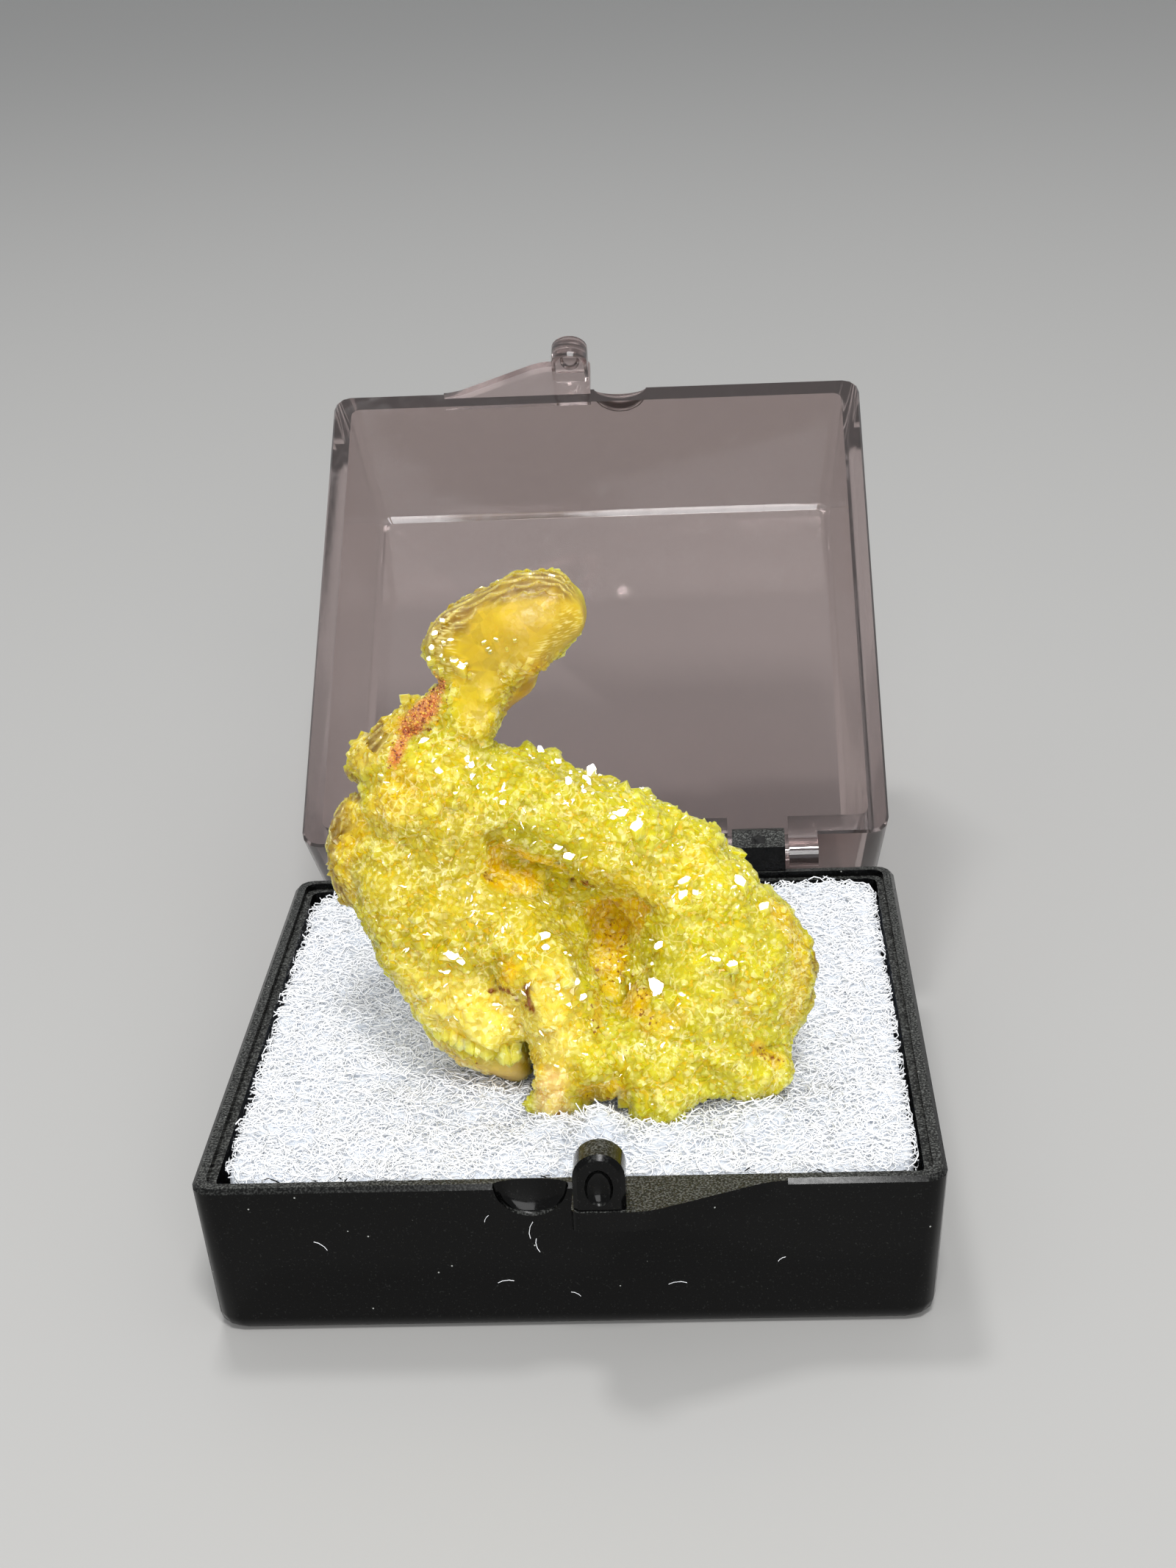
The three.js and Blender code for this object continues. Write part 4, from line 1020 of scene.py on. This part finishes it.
def grain_tree():
    """Small angular grains scattered where the layer called iron is strong."""
    tree, given = geometry_tree("Iron grains", {
        "Grain size": "NodeSocketFloat",
        "Seed": "NodeSocketInt",
        "Material": "NodeSocketMaterial",
    })
    iron = add_node(tree, "GeometryNodeInputNamedAttribute", {"Name": "iron"}, data_type="FLOAT")
    roots = add_node(tree, "GeometryNodeDistributePointsOnFaces", {
        "Mesh": given["Geometry"],
        "Distance Min": given["Grain size"],
        "Density Max": (1.3 / (0.15 * MM)) ** 2,
        "Density Factor": iron.outputs["Attribute"],
        "Seed": given["Seed"],
    }, distribute_method="POISSON")
    grain = add_node(tree, "GeometryNodeMeshIcoSphere", {"Radius": given["Grain size"], "Subdivisions": 1})
    turn = add_node(tree, "FunctionNodeRandomValue", {
        "Max": (2 * math.pi, 2 * math.pi, 2 * math.pi), "Seed": given["Seed"]}, data_type="FLOAT_VECTOR")
    aim = add_node(tree, "FunctionNodeEulerToRotation", {0: turn.outputs["Value"]})
    size = add_node(tree, "FunctionNodeRandomValue", {
        "Min": (0.35, 0.35, 0.3), "Max": (0.95, 0.8, 0.6), "Seed": 2}, data_type="FLOAT_VECTOR")
    grains = add_node(tree, "GeometryNodeInstanceOnPoints", {
        "Points": roots.outputs["Points"], "Instance": grain.outputs[0],
        "Rotation": aim.outputs[0], "Scale": size.outputs["Value"]})
    end_tree(tree, grains.outputs[0], given["Material"])
    return tree


def thin_out(obj, most):
    """Joins the smallest faces until no more than this many triangles are left."""
    thin = obj.modifiers.new("thin", "DECIMATE")
    thin.ratio = min(1, most / triangle_count(obj.data))
    thin.use_collapse_triangulate = True
    settle(obj)


def drop_collection(collection):
    """Removes a collection of forms once they have been used."""
    for item in list(collection.objects):
        bpy.data.objects.remove(item)
    bpy.data.collections.remove(collection)


class SPECIMEN_OT_adamite(bpy.types.Operator):
    """Grows the adamite: a lumpy mass covered with wedge crystals, and its strip of iron oxide"""
    bl_idname = "specimen.adamite"
    bl_label = "Adamite"

    def execute(self, context):
        settings = context.scene.adamite
        mass = merged_copy("adamite", "adamite_cluster")
        cut_hollows(mass)
        refine_mass(mass, settings)
        context.view_layer.update()
        forms = bpy.data.collections.new("crystal_forms")
        for name, shape in CRYSTAL_FORMS.items():
            forms.objects.link(bpy.data.objects.new(name, crystal_mesh(name, *shape)))
        faces, glints = flash_faces(mass, settings)
        lip_teeth(faces, settings)
        run_tree(mass, crust_tree(), {
            "Spacing": settings.crystal_spacing,
            "Smallest": settings.crystal_small,
            "Largest": settings.crystal_large,
            "Tilt": settings.crystal_tilt,
            "Seed": settings.seed,
            "Forms": forms,
            "Flash faces": faces,
            "Material": adamite_material(settings),
        })
        drop_collection(forms)
        drop_collection(faces)
        context.view_layer.update()
        thin_out(mass, settings.triangles)
        context.view_layer.update()
        mark_zones(mass, glints)
        shade_by_angle(mass.data, CRYSTAL_EDGE)
        print("adamite triangles", triangle_count(mass.data))
        grains = new_object("iron_oxide_grains", mass.data.copy())
        run_tree(grains, grain_tree(), {
            "Grain size": settings.iron_grain,
            "Seed": settings.seed,
            "Material": iron_material(settings),
        })
        print("iron triangles", triangle_count(grains.data))
        finish_piece(mass, "base", "adamite")
        finish_piece(grains, "base")
        return {"FINISHED"}


# The fibre pad: half its side, and the height above which it is heaped up, in millimetres
PAD_HALF = 19.1
PAD_LEVEL = 7.4

# Where the wad heaps up against the specimen's feet: place, height and reach, in millimetres
FEET = [
    (-1.0, -13.6, 1.0, 2.4), (5.0, -13.8, 1.0, 2.4), (10.0, -12.0, 0.9, 2.6), (-5.5, -9.5, 0.8, 3.0),
    (1.6, -15.0, 2.3, 1.4),
]

# How many forms of curled fibre there are, the points of one and the millimetres between them, and
# how many layers of fibre cover the wad
CURL_COUNT = 8
CURL_POINTS = 7
CURL_STEP = 0.4
FIBRE_LAYERS = 3

# The tray's front face: how far out it stands at its top edge, the height of that edge, and its slope
FRONT_FACE = 20.5
FRONT_TOP = 9.25
FRONT_SLOPE = 0.064

# Stray fibres on that face: place across and up, length, in millimetres, and turn in degrees
STRAYS = [
    (-13.6, 5.8, 0.9, -40), (-3.6, 3.2, 0.9, 8), (-2.0, 6.6, 1.1, 80), (-1.7, 5.6, 0.9, 100),
    (0.2, 2.3, 0.6, -30), (5.8, 2.9, 1.0, 5), (-4.4, 7.4, 0.5, 60), (11.5, 4.4, 0.5, 35),
]


def line_object(name, lines):
    """Polylines, each a list of points in metres, as an object of loose edges."""
    points = [point for line in lines for point in line]
    edges = []
    start = 0
    for line in lines:
        edges += [(start + step, start + step + 1) for step in range(len(line) - 1)]
        start += len(line)
    mesh = bpy.data.meshes.new(name)
    mesh.from_pydata(points, edges, [])
    return bpy.data.objects.new(name, mesh)


def curl(rng):
    """One curled fibre, lying about level, with its middle at the origin."""
    heading = rng.uniform(0, 2 * math.pi)
    bend = rng.uniform(0.2, 1.0) * rng.choice((-1, 1))
    at = Vector((0, 0, 0))
    points = []
    for step in range(CURL_POINTS):
        points.append(at.copy())
        heading += bend + rng.uniform(-0.25, 0.25)
        rise = rng.uniform(-0.35, 0.35)
        at = at + Vector((math.cos(heading), math.sin(heading), rise)) * CURL_STEP * MM
    middle = sum(points, Vector()) / len(points)
    return [point - middle for point in points]


def tube_nodes(tree, lines, radius, material):
    """Nodes that turn loose edges into three-sided tubes of a material, and end the tree."""
    curve = add_node(tree, "GeometryNodeMeshToCurve", {0: lines})
    profile = add_node(tree, "GeometryNodeCurvePrimitiveCircle", {"Resolution": 3, "Radius": radius})
    tube = add_node(tree, "GeometryNodeCurveToMesh", {
        "Curve": curve.outputs[0], "Profile Curve": profile.outputs[0], "Fill Caps": True})
    end_tree(tree, tube.outputs[0], material)


def stray_line(across, up, length, turn):
    """A bent fibre lying against the tray's front face."""
    angle = math.radians(turn)
    points = []
    for share in (-0.5, -0.2, 0.2, 0.5):
        bow = 0.12 * length * (1 - 4 * share * share)
        x = across + share * length * math.cos(angle) - bow * math.sin(angle)
        z = up + share * length * math.sin(angle) + bow * math.cos(angle)
        points.append(Vector((x, FRONT_SLOPE * (FRONT_TOP - z) - FRONT_FACE - 0.02, z)) * MM)
    return points


def stray_tree():
    """Thin tubes along the stray fibres."""
    tree, given = geometry_tree("Stray fibres", {
        "Radius": "NodeSocketFloat",
        "Material": "NodeSocketMaterial",
    })
    tube_nodes(tree, given["Geometry"], given["Radius"], given["Material"])
    return tree


def fibre_tree():
    """Curled fibres scattered over the wad, each turned and tilted at random."""
    tree, given = geometry_tree("Fibres", {
        "Spacing": "NodeSocketFloat",
        "Radius": "NodeSocketFloat",
        "Seed": "NodeSocketInt",
        "Curls": "NodeSocketCollection",
        "Material": "NodeSocketMaterial",
    })
    roots = root_points(tree, given, "fluff")
    turn = add_node(tree, "FunctionNodeRandomValue", {
        "Min": (-0.45, -0.45, 0.0), "Max": (0.45, 0.45, 2 * math.pi), "Seed": given["Seed"]},
        data_type="FLOAT_VECTOR")
    aim = add_node(tree, "FunctionNodeEulerToRotation", {0: turn.outputs["Value"]})
    size = add_node(tree, "FunctionNodeRandomValue", {"Min": 0.6, "Max": 1.25, "Seed": 4}, data_type="FLOAT")
    curls = add_node(tree, "GeometryNodeCollectionInfo", {
        "Collection": given["Curls"], "Separate Children": True, "Reset Children": True})
    scattered = add_node(tree, "GeometryNodeInstanceOnPoints", {
        "Points": roots.outputs["Points"],
        "Instance": curls.outputs[0],
        "Pick Instance": True,
        "Rotation": aim.outputs[0],
        "Scale": size.outputs[1],
    })
    lift = add_node(tree, "FunctionNodeRandomValue", {
        "Min": (0.0, 0.0, -0.1 * MM), "Max": (0.0, 0.0, 0.22 * MM), "Seed": 6}, data_type="FLOAT_VECTOR")
    lifted = add_node(tree, "GeometryNodeTranslateInstances", {
        "Instances": scattered.outputs[0], "Translation": lift.outputs["Value"], "Local Space": False})
    real = add_node(tree, "GeometryNodeRealizeInstances", {0: lifted.outputs[0]})
    tube_nodes(tree, real.outputs[0], given["Radius"], given["Material"])
    return tree


def fibre_material(settings):
    """Polyester fibre: drawn clear filaments, white in bulk, each with a bright streak."""
    material, tree = new_material("polyester_fibre")
    place = add_node(tree, "ShaderNodeTexCoord")
    patches = add_node(tree, "ShaderNodeTexNoise", {
        "Vector": place.outputs["Object"], "Scale": 1 / (1.2 * MM), "Detail": 2.0})
    colour = add_node(tree, "ShaderNodeMix", {
        0: patches.outputs[0], 6: opaque(settings.white), 7: opaque(settings.shade)}, data_type="RGBA")
    shader = add_node(tree, "ShaderNodeBsdfPrincipled", {
        "Base Color": colour.outputs[2],
        "Roughness": 0.25,
        "IOR": 1.57,
    })
    add_node(tree, "ShaderNodeOutputMaterial", {"Surface": shader.outputs[0]})
    return material


def wad_material(settings):
    """The wad under its top fibres: fibres too many to tell apart, soft and matt."""
    material, tree = new_material("polyester_wad")
    place = add_node(tree, "ShaderNodeTexCoord")
    tangle = add_node(tree, "ShaderNodeTexNoise", {
        "Vector": place.outputs["Object"], "Scale": 1 / (0.5 * MM), "Detail": 4.0, "Distortion": 2.0})
    # Painted shade: the darker bluish colour of the gaps is mixed in by noise
    colour = add_node(tree, "ShaderNodeMix", {
        0: tangle.outputs[0], 6: opaque(settings.deep), 7: opaque(settings.shade)}, data_type="RGBA")
    bump = add_node(tree, "ShaderNodeBump", {
        "Height": tangle.outputs[0], "Strength": 0.5, "Distance": 0.2 * MM})
    shader = add_node(tree, "ShaderNodeBsdfPrincipled", {
        "Base Color": colour.outputs[2],
        "Roughness": 0.7,
        "Subsurface Weight": 0.6,
        "Subsurface Radius": (1.0, 1.0, 1.0),
        "Subsurface Scale": 1.5 * MM,
        "Normal": bump.outputs[0],
    })
    add_node(tree, "ShaderNodeOutputMaterial", {"Surface": shader.outputs[0]})
    return material


class SPECIMEN_OT_pad(bpy.types.Operator):
    """Fills the tray with a wad of curled white fibre"""
    bl_idname = "specimen.pad"
    bl_label = "Fibre pad"

    def execute(self, context):
        settings = context.scene.fibre_pad
        wad = merged_copy("pad", "fibre_wad")
        skin = wad.modifiers.new("skin", "REMESH")
        skin.mode = "VOXEL"
        skin.voxel_size = settings.grain
        settle(wad)
        points = points_of(wad.data)
        top = np.clip((points[:, 2] / MM - PAD_LEVEL) / 0.7, 0, 1)
        mound = np.zeros(len(points))
        for x, y, height, reach in FEET:
            away = np.hypot(points[:, 0] / MM - x, points[:, 1] / MM - y)
            mound = np.maximum(mound, height * np.exp(-(away / reach) ** 2))
        level = points * np.array([1, 1, 0])
        outer = np.abs(points[:, :2]).max(axis=1) / MM
        rise = 0.3 + 0.4 * np.clip((outer - 13) / 5, 0, 1) + mound
        rise += 0.4 * noise_of(level, 2.2 * MM)
        rise += 0.22 * noise_of(level, 0.9 * MM, 7.0)
        points[:, 2] += top * rise * MM
        points[:, :2] *= 1 + 0.02 * top[:, None]
        set_points(wad.data, points)
        edge = PAD_HALF - outer * 1.02
        set_layer(wad.data, "fluff", np.where(top > 0.8, np.clip(edge / 0.3, 0, 1), 0))
        curls = bpy.data.collections.new("curls")
        rng = random.Random(settings.seed)
        for index in range(CURL_COUNT):
            curls.objects.link(line_object(f"curl_{index}", [curl(rng)]))
        tree = fibre_tree()
        fibre = fibre_material(settings)
        for layer in range(FIBRE_LAYERS):
            tufts = new_object(f"fibre_layer_{layer}", wad.data.copy())
            run_tree(tufts, tree, {
                "Spacing": settings.fibre_spacing,
                "Radius": settings.fibre_radius,
                "Seed": settings.seed + layer,
                "Curls": curls,
                "Material": fibre,
            })
            inside = points_of(tufts.data)
            limit = PAD_HALF * MM
            inside[:, :2] = np.clip(inside[:, :2], -limit, limit)
            set_points(tufts.data, inside)
            smooth_faces(tufts.data)
            print(tufts.name, "triangles", triangle_count(tufts.data))
            finish_piece(tufts, "base")
        drop_collection(curls)
        strays = line_object("stray_fibres", [stray_line(*line) for line in STRAYS])
        context.scene.collection.objects.link(strays)
        run_tree(strays, stray_tree(), {"Radius": 0.45 * settings.fibre_radius, "Material": fibre})
        finish_piece(strays, "base")
        wad.data.materials.append(wad_material(settings))
        smooth_faces(wad.data)
        finish_piece(wad, "base", "pad")
        return {"FINISHED"}


# The box
def black_material(settings):
    """Black polystyrene, injection moulded in a polished tool: deep gloss, faint scuffs and dust."""
    material, tree = new_material("black_polystyrene")
    place = add_node(tree, "ShaderNodeTexCoord")
    scuffs = add_node(tree, "ShaderNodeTexNoise", {
        "Vector": place.outputs["Object"], "Scale": 1 / (0.6 * MM), "Detail": 6.0, "Distortion": 1.5})
    rough = add_node(tree, "ShaderNodeMapRange", {
        "Value": scuffs.outputs[0], "From Min": 0.35, "From Max": 0.75, "To Min": 0.07, "To Max": 0.2})
    specks = add_node(tree, "ShaderNodeTexVoronoi", {
        "Vector": place.outputs["Object"], "Scale": 1 / (0.9 * MM)})
    speck = add_node(tree, "ShaderNodeMapRange", {
        "Value": specks.outputs["Distance"], "From Min": 0.045, "From Max": 0.06,
        "To Min": 1.0, "To Max": 0.0})
    chosen = add_node(tree, "ShaderNodeSeparateColor", {0: specks.outputs["Color"]})
    some = add_node(tree, "ShaderNodeMath", {0: chosen.outputs[0], 1: 0.62}, operation="GREATER_THAN")
    dusty = add_node(tree, "ShaderNodeMath", {0: speck.outputs[0], 1: some.outputs[0]}, operation="MULTIPLY")
    film = add_node(tree, "ShaderNodeTexNoise", {
        "Vector": place.outputs["Object"], "Scale": 1 / (0.12 * MM), "Detail": 2.0})
    grey = add_node(tree, "ShaderNodeMapRange", {
        "Value": film.outputs[0], "From Min": 0.62, "From Max": 0.8, "To Min": 0.0, "To Max": 0.05})
    sparse = add_node(tree, "ShaderNodeMath", {0: dusty.outputs[0], 1: grey.outputs[0]}, operation="MAXIMUM")

    # Dust settles on the faces that look up
    facing = add_node(tree, "ShaderNodeNewGeometry")
    level = add_node(tree, "ShaderNodeSeparateXYZ", {0: facing.outputs["Normal"]})
    up = add_node(tree, "ShaderNodeMapRange", {"Value": level.outputs[2], "From Min": 0.6, "From Max": 0.95})
    settled = add_node(tree, "ShaderNodeMapRange", {
        "Value": film.outputs[0], "From Min": 0.45, "From Max": 0.75, "To Min": 0.02, "To Max": 0.4})
    topped = add_node(tree, "ShaderNodeMath", {0: up.outputs[0], 1: settled.outputs[0]}, operation="MULTIPLY")
    dust = add_node(tree, "ShaderNodeMath", {0: sparse.outputs[0], 1: topped.outputs[0]}, operation="MAXIMUM")
    dulled = add_node(tree, "ShaderNodeMix", {0: up.outputs[0], 2: rough.outputs[0], 3: 0.5})
    colour = add_node(tree, "ShaderNodeMix", {
        0: dust.outputs[0], 6: opaque(settings.black), 7: opaque(settings.dust)}, data_type="RGBA")
    shader = add_node(tree, "ShaderNodeBsdfPrincipled", {
        "Base Color": colour.outputs[2],
        "Roughness": dulled.outputs[0],
        "IOR": 1.5,
        "Specular IOR Level": 0.15,
    })
    add_node(tree, "ShaderNodeOutputMaterial", {"Surface": shader.outputs[0]})
    return material


def clear_material(settings):
    """Clear polystyrene, injection moulded: water-clear with a faint tint, fine scuffs on its faces."""
    material, tree = new_material("clear_polystyrene")
    place = add_node(tree, "ShaderNodeTexCoord")
    scuffs = add_node(tree, "ShaderNodeTexNoise", {
        "Vector": place.outputs["Object"], "Scale": 1 / (1.5 * MM), "Detail": 6.0, "Distortion": 1.0})
    rough = add_node(tree, "ShaderNodeMapRange", {
        "Value": scuffs.outputs[0], "From Min": 0.4, "From Max": 0.8, "To Min": 0.03, "To Max": 0.16})
    shader = add_node(tree, "ShaderNodeBsdfPrincipled", {
        "Base Color": opaque(settings.clear),
        "Roughness": rough.outputs[0],
        "IOR": 1.59,
        "Transmission Weight": 0.96,
    })
    add_node(tree, "ShaderNodeOutputMaterial", {"Surface": shader.outputs[0]})
    return material


class SPECIMEN_OT_box(bpy.types.Operator):
    """Dresses the black tray and the clear lid"""
    bl_idname = "specimen.box"
    bl_label = "Display box"

    def execute(self, context):
        settings = context.scene.display_box
        for node, body, slot, material in (
                ("tray", "base", "black_plastic", black_material(settings)),
                ("lid", "lid", "clear_plastic", clear_material(settings))):
            shell = merged_copy(node, f"{node}_moulding")
            shade_by_angle(shell.data, MOULDED_EDGE)
            shell.data.materials.append(material)
            finish_piece(shell, body, node)
        return {"FINISHED"}


# The stage
class SPECIMEN_OT_stage(bpy.types.Operator):
    """Sets the floor, the lights and the camera"""
    bl_idname = "specimen.stage"
    bl_label = "Stage"

    def execute(self, context):
        settings = context.scene.stage
        corners = [(-1, -1), (1, -1), (1, 1), (-1, 1)]
        mesh = bpy.data.meshes.new("floor")
        mesh.from_pydata([(x * FLOOR_HALF, y * FLOOR_HALF, 0) for x, y in corners], [], [(0, 1, 2, 3)])
        floor = new_object("floor", mesh)
        material = bpy.data.materials.new("painted_board")
        material.use_nodes = True
        paint = material.node_tree.nodes["Principled BSDF"]
        paint.inputs["Base Color"].default_value = opaque(settings.floor)
        paint.inputs["Roughness"].default_value = 0.55
        mesh.materials.append(material)
        make_light("key", KEY_AT, KEY_SIDE, settings.key_power)
        make_light("spark", SPARK_AT, SPARK_SIDE, settings.spark_power)
        make_light("front", FILL_AT, FILL_SIDE, settings.fill_power)
        world = bpy.data.worlds.new("pale_room")
        world.use_nodes = True
        world.node_tree.nodes["Background"].inputs["Color"].default_value = opaque(ROOM_COLOUR)
        world.node_tree.nodes["Background"].inputs["Strength"].default_value = ROOM_STRENGTH
        context.scene.world = world
        context.scene.view_settings.view_transform = "Standard"
        make_camera(settings)
        return {"FINISHED"}


def make_light(name, place, side, power):
    """A soft square lamp that points at the specimen. Its place and side are in millimetres."""
    data = bpy.data.lights.new(name, "AREA")
    data.shape = "SQUARE"
    data.size = side * MM
    data.energy = power
    light = bpy.data.objects.new(name, data)
    bpy.context.scene.collection.objects.link(light)
    light.location = Vector(place) * MM
    towards = Vector(LAMPS_AIM) * MM - light.location
    light.rotation_euler = towards.to_track_quat("-Z", "Y").to_euler()


def camera_axes():
    """The camera's own directions: ahead, right and up."""
    down, yaw, roll = (math.radians(angle) for angle in (CAMERA_DOWN, CAMERA_YAW, CAMERA_ROLL))
    ahead = Vector((math.sin(yaw) * math.cos(down), math.cos(yaw) * math.cos(down), -math.sin(down)))
    level = Vector((math.cos(yaw), -math.sin(yaw), 0))
    above = level.cross(ahead)
    right = level * math.cos(roll) + above * math.sin(roll)
    up = above * math.cos(roll) - level * math.sin(roll)
    return ahead, right, up


def make_camera(settings):
    """The camera at the photograph's viewpoint."""
    ahead, right, up = camera_axes()
    turn = Matrix((right, up, -ahead)).transposed().to_4x4()
    data = bpy.data.cameras.new("camera")
    data.sensor_width = LONG_SIDE
    data.lens = settings.lens
    data.clip_start = 0.01
    camera = bpy.data.objects.new("camera", data)
    bpy.context.scene.collection.objects.link(camera)
    camera.matrix_world = Matrix.Translation(Vector(CAMERA_AT) * MM) @ turn
    bpy.context.scene.camera = camera


SETTINGS = {
    "adamite": AdamiteSettings,
    "fibre_pad": PadSettings,
    "display_box": BoxSettings,
    "stage": StageSettings,
}
OPERATORS = (SPECIMEN_OT_stage, SPECIMEN_OT_box, SPECIMEN_OT_pad, SPECIMEN_OT_adamite)


class SPECIMEN_PT_panel(bpy.types.Panel):
    """Lists the steps that build the specimen"""
    bl_idname = "SPECIMEN_PT_panel"
    bl_label = "Boxed adamite"
    bl_space_type = "VIEW_3D"
    bl_region_type = "UI"
    bl_category = "Specimen"

    def draw(self, context):
        for operator in OPERATORS:
            self.layout.operator(operator.bl_idname)
        for name, group in SETTINGS.items():
            values = getattr(context.scene, name)
            box = self.layout.box()
            for setting in group.__annotations__:
                box.prop(values, setting)


def register():
    """Makes the settings, the steps and the panel known to Blender."""
    for group in SETTINGS.values():
        bpy.utils.register_class(group)
    for name, group in SETTINGS.items():
        setattr(bpy.types.Scene, name, bpy.props.PointerProperty(type=group))
    for operator in OPERATORS:
        bpy.utils.register_class(operator)
    bpy.utils.register_class(SPECIMEN_PT_panel)


def unregister():
    """Takes them away again."""
    bpy.utils.unregister_class(SPECIMEN_PT_panel)
    for operator in reversed(OPERATORS):
        bpy.utils.unregister_class(operator)
    for name, group in SETTINGS.items():
        delattr(bpy.types.Scene, name)
        bpy.utils.unregister_class(group)


def main():
    """Builds the whole scene, one operator after another."""
    register()
    for operator in OPERATORS:
        group, name = operator.bl_idname.split(".")
        getattr(getattr(bpy.ops, group), name)()


if __name__ == "__main__":
    main()
